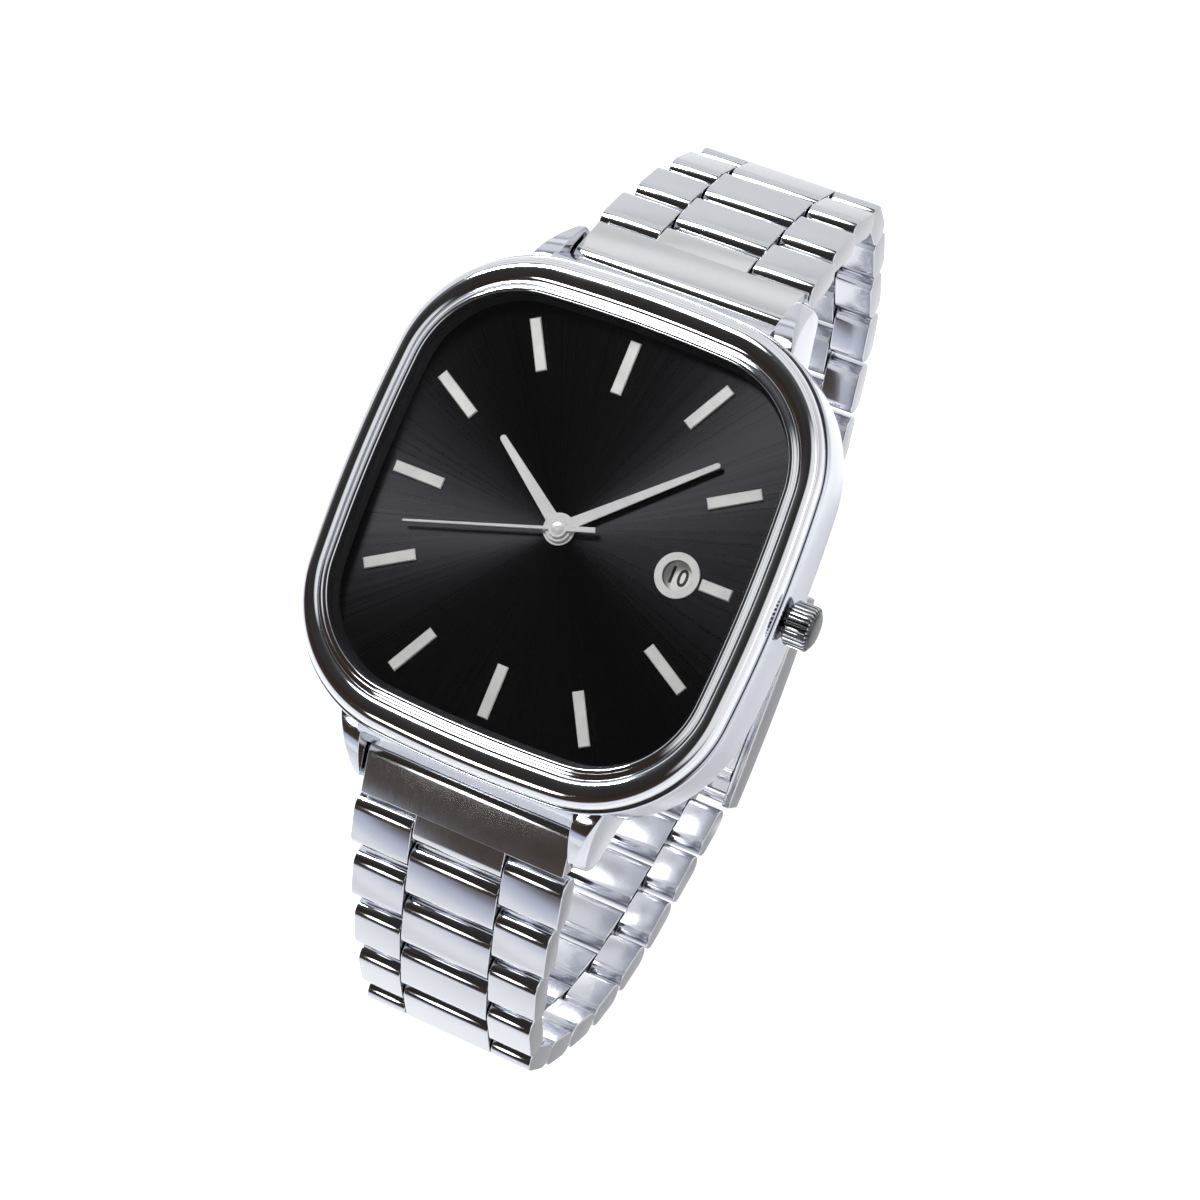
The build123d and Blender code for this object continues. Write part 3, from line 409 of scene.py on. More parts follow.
bezel_steel = polished("bezel_steel", (0.88, 0.90, 0.94), 0.05, 0.03)
case_steel = polished("case_steel", (0.74, 0.78, 0.86), 0.09, 0.04)
lug_steel = polished("lug_steel", (0.72, 0.75, 0.81), 0.08, 0.04)
crown_steel = grooved("crown_steel", (0.80, 0.82, 0.86), 0.09)
link_steel = satin("link_steel", (0.73, 0.75, 0.80), 0.16, edges=True)
end_steel = satin("end_link_steel", (0.76, 0.77, 0.79), 0.16, edges=True, depth=0.0004)
clasp_steel = satin("clasp_steel", (0.74, 0.75, 0.79), 0.24, edges=True)
blade_steel = polished("blade_steel", (0.74, 0.74, 0.76), 0.12, 0.06)
back_steel = satin("back_steel", (0.74, 0.74, 0.75), 0.32, along="X")
bar_steel = satin("bar_steel", (0.62, 0.62, 0.64), 0.25, along="X")
applied_silver = plain("applied_silver", (0.66, 0.66, 0.65), 0.38, 0.4, 6000, 0.003)
hand_silver = plain("hand_silver", (0.66, 0.66, 0.66), 0.36, 0.4, 6000, 0.003)
dial_black = sunray("dial_black")
rehaut_black = plain("rehaut_black", (0.012, 0.012, 0.014), 0.35, 0.0, 4000, 0.003)
crystal_clear = glass("crystal_clear")
seal_rubber = plain("seal_rubber", (0.015, 0.015, 0.016), 0.6)
holder_plastic = plain("holder_plastic", (0.80, 0.80, 0.77), 0.5)
plate_nickel = satin("plate_nickel", (0.78, 0.73, 0.60), 0.3, along="X", grain=5000)
wheel_brass = satin("wheel_brass", (0.86, 0.66, 0.30), 0.25, along="X", grain=8000)
step_plastic = plain("step_plastic", (0.82, 0.83, 0.86), 0.4)
date_white = plain("date_white", (0.80, 0.80, 0.79), 0.5, 0.0, 5000, 0.003)
date_ink = plain("date_ink", (0.02, 0.02, 0.022), 0.55, 0.0, 8000, 0.002)
board_green = plain("board_green", (0.03, 0.16, 0.08), 0.4)
coil_copper = satin("coil_copper", (0.72, 0.34, 0.17), 0.35, along="X", grain=12000, depth=0.02)
stator_iron = satin("stator_iron", (0.45, 0.45, 0.47), 0.35, along="X")
cell_steel = satin("cell_steel", (0.76, 0.76, 0.77), 0.3, along="X")

# CAD nodes that keep their own shape
node_finish = {
    "crystal": crystal_clear, "rehaut_ring": rehaut_black, "dial": dial_black, "hour_markers": applied_silver,
    "case_back": back_steel, "seal_rings": seal_rubber, "spring_bars": bar_steel, "stem": bar_steel,
    "setting_lever": bar_steel, "movement_screws": bar_steel, "movement_holder": holder_plastic,
    "main_plate": plate_nickel, "train_bridge": plate_nickel, "centre_wheel": wheel_brass,
    "third_wheel": wheel_brass, "second_wheel": wheel_brass, "minute_wheel": wheel_brass,
    "hour_wheel": wheel_brass, "intermediate_wheel": step_plastic, "rotor": step_plastic,
    "date_wheel": date_white, "circuit_board": board_green, "coil": coil_copper, "stator": stator_iron,
    "battery": cell_steel, "clasp_fork_blade": blade_steel, "clasp_tongue_blade": blade_steel,
}
for node, material in node_finish.items():
    obj = frame["nodes"][node]
    obj.data.materials.clear()
    obj.data.materials.append(material)


# Bezel: upright foot, dome, a fine groove, a polished step and a thin lip over the gasket
def bezel_profile():
    """The dome is a quarter ellipse outside the crest and a flat ellipse inside it."""
    foot_z, crest_share, groove_share = 9.2, 0.47, 0.72
    rise = bezel_top_z - foot_z
    dome = arc_points(crest_share, foot_z, -crest_share, rise, 0, 90, 18)
    fall = arc_points(crest_share, bezel_top_z - 0.30, groove_share - crest_share + 0.06, 0.30, 90, 25, 9)[1:]
    rows = [(0, 0, case_top_z), (0, 0, case_top_z + 0.15)] + [(s, 0, z) for s, z in dome]
    rows += [(s, 0, z) for s, z in fall]
    last_share, last_z = fall[-1]
    groove_z = last_z - 0.14
    rows += [(last_share + 0.005, 0, groove_z), (last_share + 0.045, 0, groove_z)]
    step = arc_points(last_share + 0.13, groove_z + 0.02, -0.08, 0.13, 0, 90, 6)
    rows += [(s, 0, z) for s, z in step]
    lip_z = crystal_top_z + 0.045
    rows += [(0.97, 0, lip_z + 0.03), (0.985, 0, lip_z - 0.03), (1, 0.02, lip_z - 0.03), (1, -0.02, lip_z),
             (1, -0.12, lip_z + 0.03), (1, -0.25, lip_z + 0.03), (1, -0.33, lip_z), (1, -0.35, lip_z - 0.03),
             (1, -0.35, crystal_top_z + 0.005), (1, 0, crystal_top_z + 0.005), (1, 0, case_top_z)]
    return rows


piece("bezel_shell", [round_frame(bezel_profile())], bezel_steel, "case", ["bezel"], sharp=40)


# Middle of the case: a band with a rounded lower edge
def band_profile():
    """Out is measured from the bezel's outline; the wall swells by a few hundredths at half height."""
    swell = 0.04
    top = arc_points(case_bulge - swell - case_top_round, case_top_z - case_top_round, case_top_round,
                     case_top_round, 90, 0, 7)
    low = arc_points(case_bulge - swell - case_low_round, case_low_z + case_low_round, case_low_round,
                     case_low_round, 0, -90, 14)
    t = np.linspace(0, 1, 9)[1:-1]
    wall_z = top[-1][1] + (low[0][1] - top[-1][1]) * t
    wall = np.stack([case_bulge - swell + swell * np.sin(pi * t), wall_z], -1)
    rows = np.concatenate([[(-1.2, case_top_z), (-0.4, case_top_z)], top, wall, low,
                           [(-2.6, case_low_z), (-2.6, case_low_z + 1.2), (-1.2, case_low_z + 2.4)]])
    return [(0, out, z) for out, z in rows]


piece("case_band", [round_frame(band_profile())], case_steel, "case", ["case_middle"])


def soft_polygon(corners, radius, steps=4):
    """Closed loop of a convex polygon with each corner cut to an arc: the arc runs between the points at
    the given distance from the corner, along a quadratic curve that the corner pulls."""
    corners = np.asarray(corners, float)
    before = np.roll(corners, 1, 0) - corners
    after = np.roll(corners, -1, 0) - corners
    before /= np.linalg.norm(before, axis=1)[:, None]
    after /= np.linalg.norm(after, axis=1)[:, None]
    t = np.linspace(0, 1, steps)[None, :, None]
    start, stop = corners + before * radius, corners + after * radius
    loop = (1 - t) ** 2 * start[:, None] + 2 * t * (1 - t) * corners[:, None] + t ** 2 * stop[:, None]
    return loop.reshape(-1, corners.shape[1])


# Lugs: the top facet falls and narrows towards the tip, and a slanted facet beside it widens
def lug_skin(side_x, side_y):
    """Five-cornered sections carried along y. Top height falls with the square of the way past the bend."""
    nose_y = lug_tip_y - lug_nose
    y = np.concatenate([np.linspace(lug_root_y, lug_bend_y, 5), np.linspace(lug_bend_y, nose_y, 13)[1:],
                        nose_y + lug_nose * np.sin(np.linspace(0, pi / 2, 7))[1:]])
    q = np.clip((y - lug_bend_y) / (lug_tip_y - lug_bend_y), 0, 1)
    top = lug_top_z - (lug_top_z - lug_tip_z) * q ** 2
    low = np.interp(y, [lug_root_y, lug_tip_y - lug_toe_len, lug_tip_y],
                    [lug_root_low_z, lug_toe_z, lug_toe_z + lug_toe_rise])
    outer = lug_root_out + (lug_tip_out - lug_root_out) * q
    into_nose = (y - lug_tip_y + lug_nose).clip(0) / lug_nose
    shrink = lug_nose_in * (1 - np.sqrt(np.clip(1 - into_nose ** 2, 0, 1)))
    rings = []
    for k in range(len(y)):
        s = shrink[k]
        ridge = outer[k] - lug_facet - lug_facet_w * q[k] ** 1.5
        fall = lug_facet + lug_facet_fall * q[k]
        corners = [(lug_gap_half + s * 0.6, top[k] - s), (ridge - s * 0.3, top[k] - s),
                   (outer[k] - s, top[k] - fall - s), (outer[k] - s, low[k] + s),
                   (lug_gap_half + s * 0.6, low[k] + s)]
        loop = soft_polygon(corners, lug_round, 4)
        rings.append(np.column_stack([side_x * loop[:, 0], np.full(len(loop), side_y * y[k]), loop[:, 1]]))
    return loft(rings)


for side_y, hour in ((1, "12"), (-1, "06")):
    for side_x, place in ((1, "right"), (-1, "left")):
        piece(f"lug_{hour}_{place}", [lug_skin(side_x, side_y)], lug_steel, "case", ["case_middle"],
              sharp=28)


# Hoods: the sloped wall between each pair of lugs
def hood_skin(side):
    """A rounded profile in y and z carried across from lug to lug."""
    profile = [(17.0, 8.2), (21.3, 8.2), (21.9, 7.7), (22.55, 5.9), (22.75, 5.4), (22.6, 4.9), (17.0, 4.9)]
    loop = soft_polygon(profile, 0.22, 5)
    x = np.array([-lug_gap_half - 0.2, -lug_gap_half, lug_gap_half, lug_gap_half + 0.2])
    rings = [np.column_stack([np.full(len(loop), v), side * loop[:, 0], loop[:, 1]]) for v in x]
    return loft(rings)


for side, hour in ((1, "12"), (-1, "06")):
    piece(f"hood_{hour}", [hood_skin(side)], case_steel, "case", ["case_middle"])


# Bracelet pieces
def bar_skin(u0, u1, x0, x1, grow=0.0, start="round", stop="round"):
    """Bar across the band: a section with two ends, half round or square with soft corners or cut off flat,
    carried from x0 to x1 and drawn in along a quarter circle at both sides. Returns (x, u, w) points, faces
    and the shine value."""
    t = np.linspace(0, pi / 2, 5)
    inset = edge_break * (1 - np.sin(t))
    along = edge_break * (1 - np.cos(t))
    inset = np.concatenate([inset, inset[::-1]])
    xs = np.concatenate([x0 + along, x1 - along[::-1]])
    rings = []
    for x, e in zip(xs, inset):
        r = link_r + grow - e
        ends = []
        for u, kind, way in ((u1, stop, 1), (u0, start, -1)):
            if kind == "round":
                end = arc_points(u, 0, r * way, r * way, -90, 90, 15)
            elif kind == "square":
                centre_u, centre_w = u - (square_round + e) * way, (r - square_round) * way
                corner_r = square_round * way
                end = np.concatenate([arc_points(centre_u, -centre_w, corner_r, corner_r, -90, 0, 7),
                                      arc_points(centre_u, centre_w, corner_r, corner_r, 0, 90, 8)])
            else:
                end = np.stack([np.full(15, u), np.linspace(-r, r, 15) * way], -1)
            ends.append(end)
        loop = np.concatenate(ends)
        rings.append(np.column_stack([np.full(len(loop), x), loop]))
    points, faces = loft(rings)
    edge = np.clip((90 - np.abs(np.linspace(-90, 90, 15))) / 25, 0, 1)
    shine = np.tile(np.concatenate([edge * (stop == "round"), edge * (start == "round")]), len(xs))
    return points, faces, shine


def across(radius, x0, x1, u, w=0.0, bevel=0.05):
    """Pin across the band with a small bevel at each end."""
    t = np.radians(np.arange(0, 360, 15))
    rings = []
    for x, r in ((x0, radius - bevel), (x0 + bevel, radius), (x1 - bevel, radius), (x1, radius - bevel)):
        rings.append(np.column_stack([np.full(len(t), x), u + r * np.cos(t), w + r * np.sin(t)]))
    points, faces = loft(rings)
    return points, faces, np.ones(len(points))


def band_place(points, start, along, outward):
    """Moves (x, u, w) points to their hinge, with u along the band and w outwards."""
    placed = points[:, 1:2] * along + points[:, 2:3] * outward + start
    placed[:, 0] += points[:, 0]
    return placed


def chain(hour, side):
    """Hinge point and direction of the end link and of each link: a link's heading is the sum of the
    ranges of the hinges up to it, because each hinge ends flat with its neighbour."""
    names = [f"end_link_{hour}"] + sorted(n for n in frame["nodes"] if n.startswith(f"link_{hour}_"))
    heading, placed = 0.0, []
    for name in names:
        joint = JOINTS[f"{name}_hinge"]
        heading += radians(joint["range_deg"][1])
        start = np.array(joint["pos_m"]) / MM
        along = np.array([0, side * cos(heading), -sin(heading)])
        outward = np.array([0, side * sin(heading), cos(heading)])
        placed.append((name, start, along, outward))
    return placed


half_pitch = link_pitch / 2
outer_in = centre_half + row_gap


def loft_faces(points, faces):
    """Turns the faces over if the placed skin encloses a negative volume."""
    quads = np.array([f for f in faces if len(f) == 4])
    a, b, c, d = (points[quads[:, k]] - points.mean(0) for k in range(4))
    if np.einsum("ij,ij->i", a, np.cross(b, c) + np.cross(c, d)).sum() < 0:
        faces = [face[::-1] for face in faces]
    return points, faces


def link_skins(half):
    """Centre piece, two outer pieces and the ends of the two pins of a link with the given half width."""
    parts = [bar_skin(half_pitch, link_pitch, -centre_half, centre_half),
             bar_skin(0, half_pitch, outer_in, half), bar_skin(0, half_pitch, -half, -outer_in)]
    return parts + [across(pin_r, -half - 0.012, -half + 0.3, u) for u in (0, half_pitch)]


def end_link_skins(half):
    """Front bar with a square far edge, and the centre tongue that runs on to the hinge."""
    return [bar_skin(0, front_len, -half, half, stop="square"),
            bar_skin(front_len - 0.2, end_link_len, -centre_half, centre_half, -0.002, start="flat")]


for hour, side in (("12", 1), ("06", -1)):
    for number, (name, start, along, outward) in enumerate(chain(hour, side)):
        half = node_box(name)[1][0]
        parts = link_skins(half - 0.013) if number else end_link_skins(half)
        skins = [loft_faces(band_place(points, start, along, outward), faces) for points, faces, _ in parts]
        piece(f"{name}_form", skins, link_steel if number else end_steel, name, [name],
              shine=np.concatenate([shine for _, _, shine in parts]))

# Clasp cover
clasp_start = np.array(JOINTS["clasp_cover_hinge"]["pos_m"]) / MM
clasp_along = np.array(JOINTS["clasp_fork_hinge"]["pos_m"]) / MM - clasp_start
clasp_len = np.linalg.norm(clasp_along) + clasp_hinge_in
clasp_along /= np.linalg.norm(clasp_along)
clasp_inward = np.array([0, -clasp_along[2], clasp_along[1]])


def clasp_skin():
    """Channel section, open towards the wrist, carried along u. Its floor follows a circle's arc through
    the two ends and the crown."""
    u_end = clasp_len - clasp_tail
    turn_in = clasp_end_round * (1 - np.cos(np.linspace(0, pi / 2, 5)))
    u = np.concatenate([-clasp_lead + turn_in,
                        np.linspace(-clasp_lead + clasp_end_round, u_end - clasp_end_round, 21)[1:-1],
                        u_end - turn_in[::-1]])
    ease = np.clip(1 - np.minimum(u + clasp_lead, u_end - u) / clasp_end_round, 0, 1)
    inset = clasp_end_round * (1 - np.sqrt(np.clip(1 - ease ** 2, 0, 1)))
    mid, half = (u_end - clasp_lead) / 2, (u_end + clasp_lead) / 2
    floor = -clasp_crown_w + (clasp_crown_w - clasp_end_w) * ((u - mid) / half) ** 2
    rings, shines = [], []
    for k in range(len(u)):
        e, f = inset[k], floor[k]
        wide, low, high = clasp_half - e, f + e, clasp_skirt_w - e
        corner = arc_points(wide - clasp_corner_r, low + clasp_corner_r, clasp_corner_r, clasp_corner_r,
                            -90, 0, 7)
        rim = arc_points(wide - clasp_rim_r, high - clasp_rim_r, clasp_rim_r, clasp_rim_r, 0, 90, 4)
        inner_x, inner_w = clasp_half - clasp_side + e * 0.5, f + clasp_wall - e * 0.5
        right = np.concatenate([[(0, low)], [(wide * 0.5, low)], corner, rim,
                                [(inner_x + 0.08, high), (inner_x, high - 0.08), (inner_x, inner_w + 0.1),
                                 (inner_x - 0.1, inner_w)]])
        left = right[::-1] * (-1, 1)
        loop = np.concatenate([right, left[:-1]])
        bright = np.concatenate([[0, 0], np.linspace(0, 1, 7), np.ones(4), np.ones(4)])
        shines.append(np.concatenate([bright, bright[::-1][:-1]]))
        rings.append(np.column_stack([loop[:, 0], np.full(len(loop), u[k]), loop[:, 1]]))
    points, faces = loft(rings)
    return points, faces, np.concatenate(shines)


clasp_parts = [clasp_skin(), across(pin_r, -clasp_half - 0.012, clasp_half + 0.012, 0)]
for side in (1, -1):
    ends = sorted((side * centre_half + side * 0.2, side * (clasp_half + 0.012)))
    clasp_parts.append(across(0.4, *ends, clasp_len - clasp_hinge_in))
skins = [loft_faces(band_place(p, clasp_start, clasp_along, clasp_inward), f) for p, f, _ in clasp_parts]
piece("clasp_cover_form", skins, clasp_steel, "clasp_cover", ["clasp_cover"],
      shine=np.concatenate([s for _, _, s in clasp_parts]))


# Crown
def crown_skin():
    """Radius at angle a is the root radius plus the flute height times a softened cosine of the flute count
    times a. The fluted length ends in bevels and a domed cap."""
    a = np.linspace(0, 2 * pi, 24 * crown_flutes, endpoint=False)
    wave = np.clip(0.5 + 0.85 * np.cos(crown_flutes * a), 0, 1)
    wave = wave * wave * (3 - 2 * wave)
    flute = crown_r - crown_root_r
    start, stop = crown_high[0] - crown_head_len, crown_high[0]
    body_end = stop - crown_cap_len
    rows = [(start, 1.35, 0), (start, crown_root_r - 0.1, 0), (start + 0.2, crown_root_r, 0.9),
            (start + 0.28, crown_root_r, 1), (body_end - 0.3, crown_root_r, 1),
            (body_end - 0.2, crown_root_r, 0.9), (body_end - 0.02, crown_root_r - 0.12, 0),
            (body_end, crown_face_r, 0)]
    dome = arc_points(body_end, 0, crown_cap_len, crown_face_r, 90, 8, 9)[1:]
    rows += [(x, r, 0) for x, r in dome]
    rings = []
    for x, r, share in rows:
        radius = r + flute * wave * share
        rings.append(np.column_stack([np.full(len(a), x), radius * np.cos(a), crown_z + radius * np.sin(a)]))
    return loft(rings)


def crown_neck_skin():
    """Neck of the crown, a plain turned tube that disappears into the case wall."""
    a = np.linspace(0, 2 * pi, 48, endpoint=False)
    rows = ((crown_low[0], 0.9), (crown_low[0] + 0.15, crown_neck_r), (crown_high[0] - 2.4, crown_neck_r))
    return loft([np.column_stack([np.full(len(a), x), r * np.cos(a), crown_z + r * np.sin(a)])
                 for x, r in rows])


piece("crown_head", [crown_skin(), crown_neck_skin()], crown_steel, "crown", ["crown"],
      sharp=35)


# Hands
def hand_loop(length, root, tip, hub_r, tail=0.0, tail_w=0.0, inset=0.0):
    """Outline of a hand that points along +Y: an arc of the hub, a straight edge to the round tip, the tip's
    arc and back, and a square tail where there is one, all drawn in by the inset."""
    hub, half, end = hub_r - inset, root / 2 - inset, tip / 2 - inset
    join = degrees(acos(half / hub))
    head = arc_points(0, length - tip / 2, end, end, 0, 180, 13)
    if tail:
        back = degrees(acos((tail_w / 2 - inset) / hub))
        left = arc_points(0, 0, hub, hub, 180 - join, 180 + back, 25)
        right = arc_points(0, 0, hub, hub, 360 - back, 360 + join, 25)
        stub = [(-tail_w / 2 + inset, -tail + inset), (tail_w / 2 - inset, -tail + inset)]
        return np.concatenate([head, left, stub, right])
    return np.concatenate([head, arc_points(0, 0, hub, hub, 180 - join, 360 + join, 49)])


def hand_skin(name):
    """Flat hand with bevelled upper edges, turned clockwise to the time that it shows."""
    length, root, tip, hub_r, angle = hand_sizes[name]
    tail, tail_w = (second_tail, second_tail_w) if name == "second_hand" else (0, 0)
    low, high = node_box(name)
    turn = radians(-angle)
    rings = []
    for z, inset in ((low[2], 0), (high[2] - hand_bevel, 0), (high[2], hand_bevel)):
        loop = hand_loop(length, root, tip, hub_r, tail, tail_w, inset)
        x = loop[:, 0] * cos(turn) - loop[:, 1] * sin(turn)
        y = loop[:, 0] * sin(turn) + loop[:, 1] * cos(turn)
        rings.append(np.column_stack([x, y, np.full(len(loop), z)]))
    return loft(rings)


def disc_skin(rows, steps=96):
    """Turned piece about Z: each row is a radius and a height."""
    a = np.linspace(0, 2 * pi, steps, endpoint=False)
    return loft([np.column_stack([r * np.cos(a), r * np.sin(a), np.full(steps, z)]) for r, z in rows])


for name, body in (("hour_hand", "hour"), ("minute_hand", "minute"), ("second_hand", "second")):
    skins = [hand_skin(name)]
    top = node_box(name)[1][2]
    if name == "second_hand":
        skins.append(disc_skin([(0.52, top - 0.02), (0.52, top + 0.03), (0.45, top + 0.06),
                                (0.16, top + 0.07), (0.13, top + 0.03)]))
    piece(f"{name}_form", skins, hand_silver, body, [name], sharp=25)


# Date: ring on the dial, and the figures on the date wheel
def ring_skin(r_in, r_out, z0, z1, bevel, centre_x=0.0, steps=128):
    """Flat ring with bevelled edges, a closed profile carried round a circle."""
    a = np.linspace(0, 2 * pi, steps, endpoint=False)
    profile = np.array([(r_in, z0), (r_in, z1 - bevel), (r_in + bevel, z1), (r_out - bevel, z1),
                        (r_out, z1 - bevel), (r_out, z0)])
    rings = np.stack([centre_x + profile[:, 0] * np.cos(a)[:, None], profile[:, 0] * np.sin(a)[:, None],
                      np.broadcast_to(profile[:, 1], (steps, len(profile)))], -1)
    return loft(rings, closed=True)


date_ring = ring_skin(date_window_r, date_ring_r, dial_z, dial_z + date_ring_high, date_ring_bevel, date_x)
piece("date_ring", [date_ring], applied_silver, "case", ["date_frame"], sharp=25)


def figure_mesh(number):
    """Points and faces of one printed number, upright at three o'clock, centred on its own place."""
    words = bpy.data.curves.new("figure", "FONT")
    words.body = str(number)
    words.size = 1.0
    words.extrude = 0.004
    words.offset = 0.018
    words.align_x, words.align_y = "CENTER", "CENTER"
    words.resolution_u = 4
    holder = bpy.data.objects.new("figure", words)
    mesh = bpy.data.meshes.new_from_object(holder)
    points = np.empty(len(mesh.vertices) * 3)
    mesh.vertices.foreach_get("co", points)
    points = points.reshape(-1, 3)
    faces = [list(p.vertices) for p in mesh.polygons]
    bpy.data.objects.remove(holder)
    bpy.data.meshes.remove(mesh)
    bpy.data.curves.remove(words)
    middle = (points[:, :2].max(0) + points[:, :2].min(0)) / 2
    points[:, :2] -= middle
    return points, faces


wheel_top = node_box("date_wheel")[1][2]
figures = []
for day in range(1, day_count + 1):
    points, faces = figure_mesh(day)
    narrow = 1 if day < 10 else figure_narrow
    scale = figure_high / font_high * narrow
    points = points * (scale * narrow, scale, 1) + (date_x, 0, wheel_top + 0.006)
    turn = 2 * pi * (date_shown - day) / day_count
    x = points[:, 0] * cos(turn) - points[:, 1] * sin(turn)
    y = points[:, 0] * sin(turn) + points[:, 1] * cos(turn)
    figures.append((np.column_stack([x, y, points[:, 2]]), faces))
piece("date_figures", figures, date_ink, "date", sharp=60)

# Camera
camera = bpy.data.objects.new("camera", bpy.data.cameras.new("camera"))
camera.data.lens = camera_lens
camera.data.sensor_width = camera_sensor
camera.data.clip_start, camera.data.clip_end = 0.01, 10
camera.location = [v * MM for v in camera_at]
camera.rotation_euler = [radians(v) for v in camera_turn]
bpy.context.scene.collection.objects.link(camera)
bpy.context.scene.camera = camera

# Floor: white to the camera. It glows less in metal and glass, because the lamps light it for them already.
floor_drop, reach = 0.3, 1.5
glow_to_camera, glow_to_metal = 0.8, 0.2
floor_z = cad_low[2] - floor_drop * MM
floor_mesh = bpy.data.meshes.new("floor")
floor_mesh.from_pydata([(-reach, -reach, floor_z), (reach, -reach, floor_z), (reach, reach, floor_z),
                        (-reach, reach, floor_z)], [], [(0, 1, 2, 3)])
floor = bpy.data.objects.new("floor", floor_mesh)
bpy.context.scene.collection.objects.link(floor)
floor_paper = Finish("floor_paper", (0.92, 0.92, 0.92), 0.9)
path = floor_paper.node("ShaderNodeLightPath")
floor_paper.shader.inputs["Emission Color"].default_value = (1, 1, 1, 1)
to_camera = floor_paper.math("MULTIPLY", path.outputs["Is Camera Ray"], glow_to_camera)
mirrored = floor_paper.math("MAXIMUM", path.outputs["Is Glossy Ray"], path.outputs["Is Transmission Ray"])
to_metal = floor_paper.math("MULTIPLY", mirrored, glow_to_metal)
floor_paper.join(floor_paper.math("MAXIMUM", to_camera, to_metal),
                 floor_paper.shader.inputs["Emission Strength"])
away = floor_paper.node("ShaderNodeSeparateXYZ")
floor_paper.join(floor_paper.place, away.inputs[0])
grey = floor_paper.spread(away.outputs["Y"], 1, 0, 0.02, 0.11)
fibre = floor_paper.spread(floor_paper.noise(30, 2), -0.01, 0.01)
floor_paper.tint(floor_paper.math("ADD", grey, fibre), 0.5, 1.0)
floor_mesh.materials.append(floor_paper.material)

# World: white to the camera, and up to a little above level to metal and glass too. Everything else is a
# studio of bands by height, with soft boxes.
world = bpy.data.worlds.new("studio")
bpy.context.scene.world = world
world.use_nodes = True
tree = world.node_tree
tree.nodes.clear()
way = tree.nodes.new("ShaderNodeTexCoord").outputs["Generated"]
split = tree.nodes.new("ShaderNodeSeparateXYZ")
tree.links.new(way, split.inputs[0])
height_share = tree.nodes.new("ShaderNodeMapRange")
height_share.inputs["From Min"].default_value = -1
tree.links.new(split.outputs["Z"], height_share.inputs["Value"])


def bands(stops):
    """Colours by the height of the direction: 0 is straight down, 0.5 level and 1 straight up."""
    ramp = tree.nodes.new("ShaderNodeValToRGB")
    ramp.color_ramp.interpolation = "EASE"
    while len(ramp.color_ramp.elements) < len(stops):
        ramp.color_ramp.elements.new(0.5)
    for element, (share, colour) in zip(ramp.color_ramp.elements, stops):
        element.position = share
        element.color = (*colour, 1)
    tree.links.new(height_share.outputs["Result"], ramp.inputs["Fac"])
    return ramp.outputs["Color"]


near_side = bands([(0.0, (0.50, 0.52, 0.58)), (0.50, (0.58, 0.62, 0.74)), (0.61, (0.60, 0.63, 0.76)),
                   (0.65, (0.05, 0.035, 0.025)), (0.92, (0.03, 0.022, 0.018)), (1.0, (0.03, 0.028, 0.028))])
far_side = bands([(0.0, (0.30, 0.31, 0.33)), (0.57, (0.36, 0.36, 0.36)), (0.62, (0.85, 0.85, 0.87)),
                  (0.72, (0.80, 0.80, 0.84)), (0.78, (0.10, 0.10, 0.10)), (1.0, (0.03, 0.028, 0.028))])
side_share = tree.nodes.new("ShaderNodeMapRange")
side_share.interpolation_type = "SMOOTHSTEP"
side_share.inputs["From Min"].default_value = -0.12
side_share.inputs["From Max"].default_value = 0.12
tree.links.new(split.outputs["Y"], side_share.inputs["Value"])
sides = tree.nodes.new("ShaderNodeMix")
sides.data_type = "RGBA"
tree.links.new(side_share.outputs["Result"], sides.inputs["Factor"])
tree.links.new(near_side, sides.inputs["A"])
tree.links.new(far_side, sides.inputs["B"])
total = sides.outputs["Result"]


def soft_box(total, towards, half_angle, strength):
    """Adds light round one direction, fading to nothing over the outer third of the half angle."""
    towards = np.array(towards, float) / np.linalg.norm(towards)
    dot = tree.nodes.new("ShaderNodeVectorMath")
    dot.operation = "DOT_PRODUCT"
    dot.inputs[1].default_value = tuple(towards)
    tree.links.new(way, dot.inputs[0])
    fade = tree.nodes.new("ShaderNodeMapRange")
    fade.interpolation_type = "SMOOTHSTEP"
    fade.inputs["From Min"].default_value = cos(radians(half_angle))
    fade.inputs["From Max"].default_value = cos(radians(half_angle * 0.66))
    fade.inputs["To Max"].default_value = strength
    tree.links.new(dot.outputs["Value"], fade.inputs["Value"])
    added = tree.nodes.new("ShaderNodeVectorMath")
    added.operation = "ADD"
    tree.links.new(fade.outputs["Result"], added.inputs[0])
    tree.links.new(total, added.inputs[1])
    return added.outputs["Vector"]


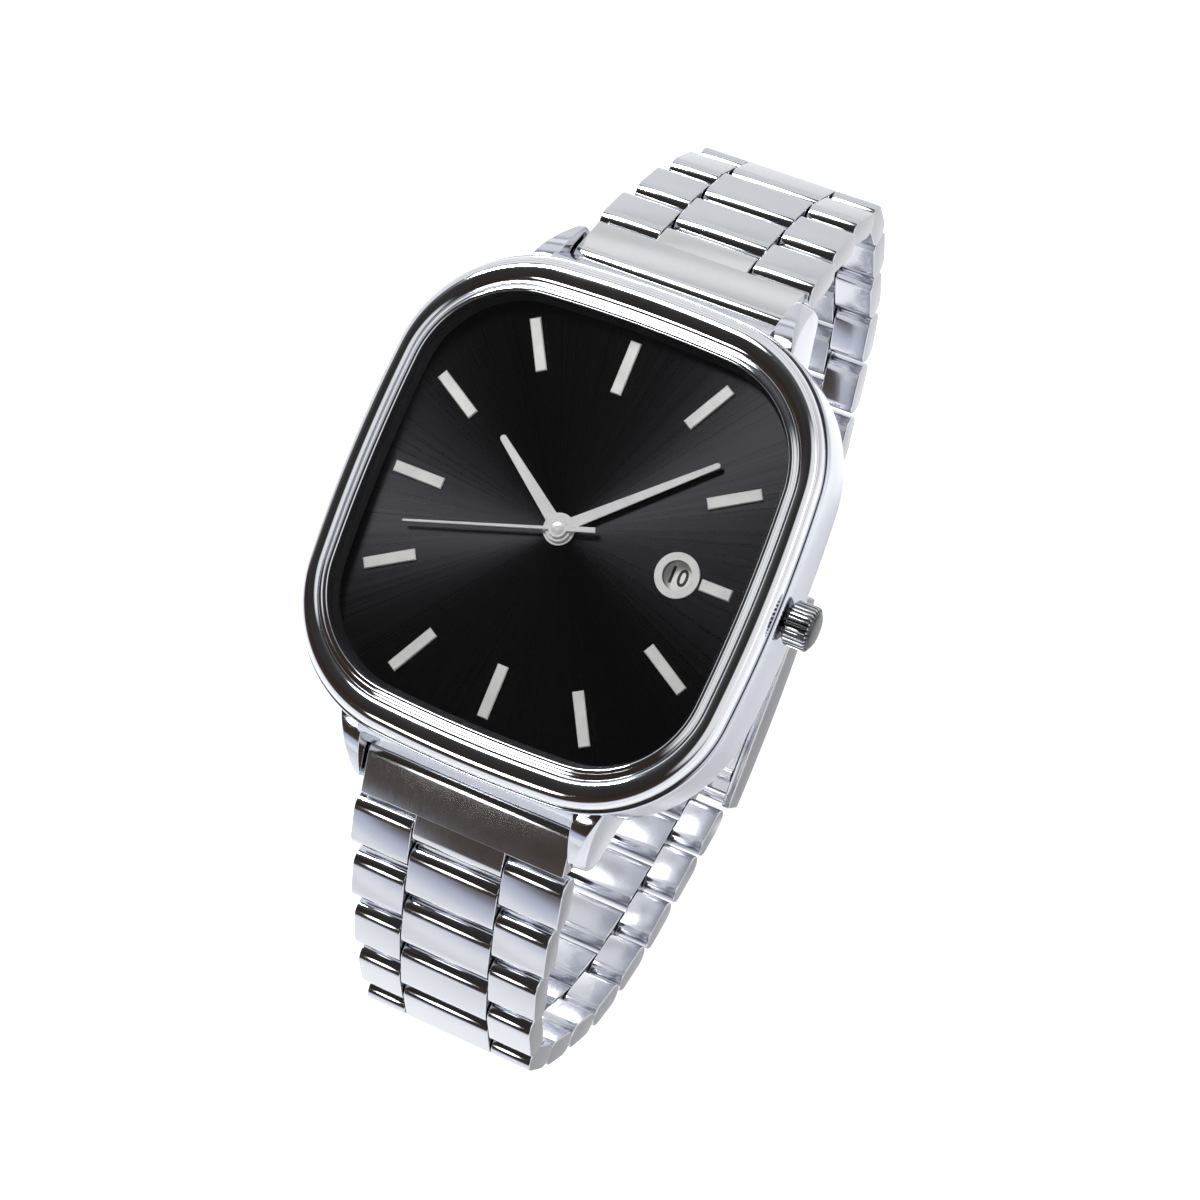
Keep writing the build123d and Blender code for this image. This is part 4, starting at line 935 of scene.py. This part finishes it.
total = soft_box(total, (0.70, 0.08, 0.70), 38, 0.75)
total = soft_box(total, (-0.31, 0.62, 0.73), 12, 9.0)
total = soft_box(total, (-0.31, -0.62, 0.73), 8, 8.0)
studio_light = tree.nodes.new("ShaderNodeBackground")
tree.links.new(total, studio_light.inputs["Color"])
white = tree.nodes.new("ShaderNodeBackground")
white.inputs["Color"].default_value = (1, 1, 1, 1)
ray = tree.nodes.new("ShaderNodeLightPath")
choose = tree.nodes.new("ShaderNodeMixShader")


def both(operation, first, second):
    """Result of one operation on two values, worked out for each ray that reaches the world."""
    made = tree.nodes.new("ShaderNodeMath")
    made.operation = operation
    tree.links.new(first, made.inputs[0])
    tree.links.new(second, made.inputs[1])
    return made.outputs[0]


# Share of white that metal and glass see: all of it to just above level, then none
backdrop = tree.nodes.new("ShaderNodeMapRange")
backdrop.interpolation_type = "SMOOTHSTEP"
for socket, value in zip(("From Min", "From Max", "To Min", "To Max"), (0.54, 0.58, 1, 0)):
    backdrop.inputs[socket].default_value = value
tree.links.new(height_share.outputs["Result"], backdrop.inputs["Value"])
from_metal = both("MAXIMUM", ray.outputs["Is Glossy Ray"], ray.outputs["Is Transmission Ray"])
white_share = both("MULTIPLY", from_metal, backdrop.outputs["Result"])
tree.links.new(both("MAXIMUM", ray.outputs["Is Camera Ray"], white_share), choose.inputs["Fac"])
tree.links.new(studio_light.outputs[0], choose.inputs[1])
tree.links.new(white.outputs[0], choose.inputs[2])
tree.links.new(choose.outputs[0], tree.nodes.new("ShaderNodeOutputWorld").inputs["Surface"])


def lamp(name, at, size, power):
    """Square soft light that faces the middle of the watch."""
    light = bpy.data.lights.new(name, "AREA")
    light.shape, light.size, light.energy = "SQUARE", size * MM, power
    obj = bpy.data.objects.new(name, light)
    bpy.context.scene.collection.objects.link(obj)
    place = np.array(at, float)
    obj.location = place * MM
    x, y, z = -place / np.linalg.norm(place)
    obj.rotation_euler = (acos(-z), 0, atan2(-x, y))


lamp("key", (-300, 260, 420), 120, 2.4)

bpy.context.scene.view_settings.view_transform = "Standard"
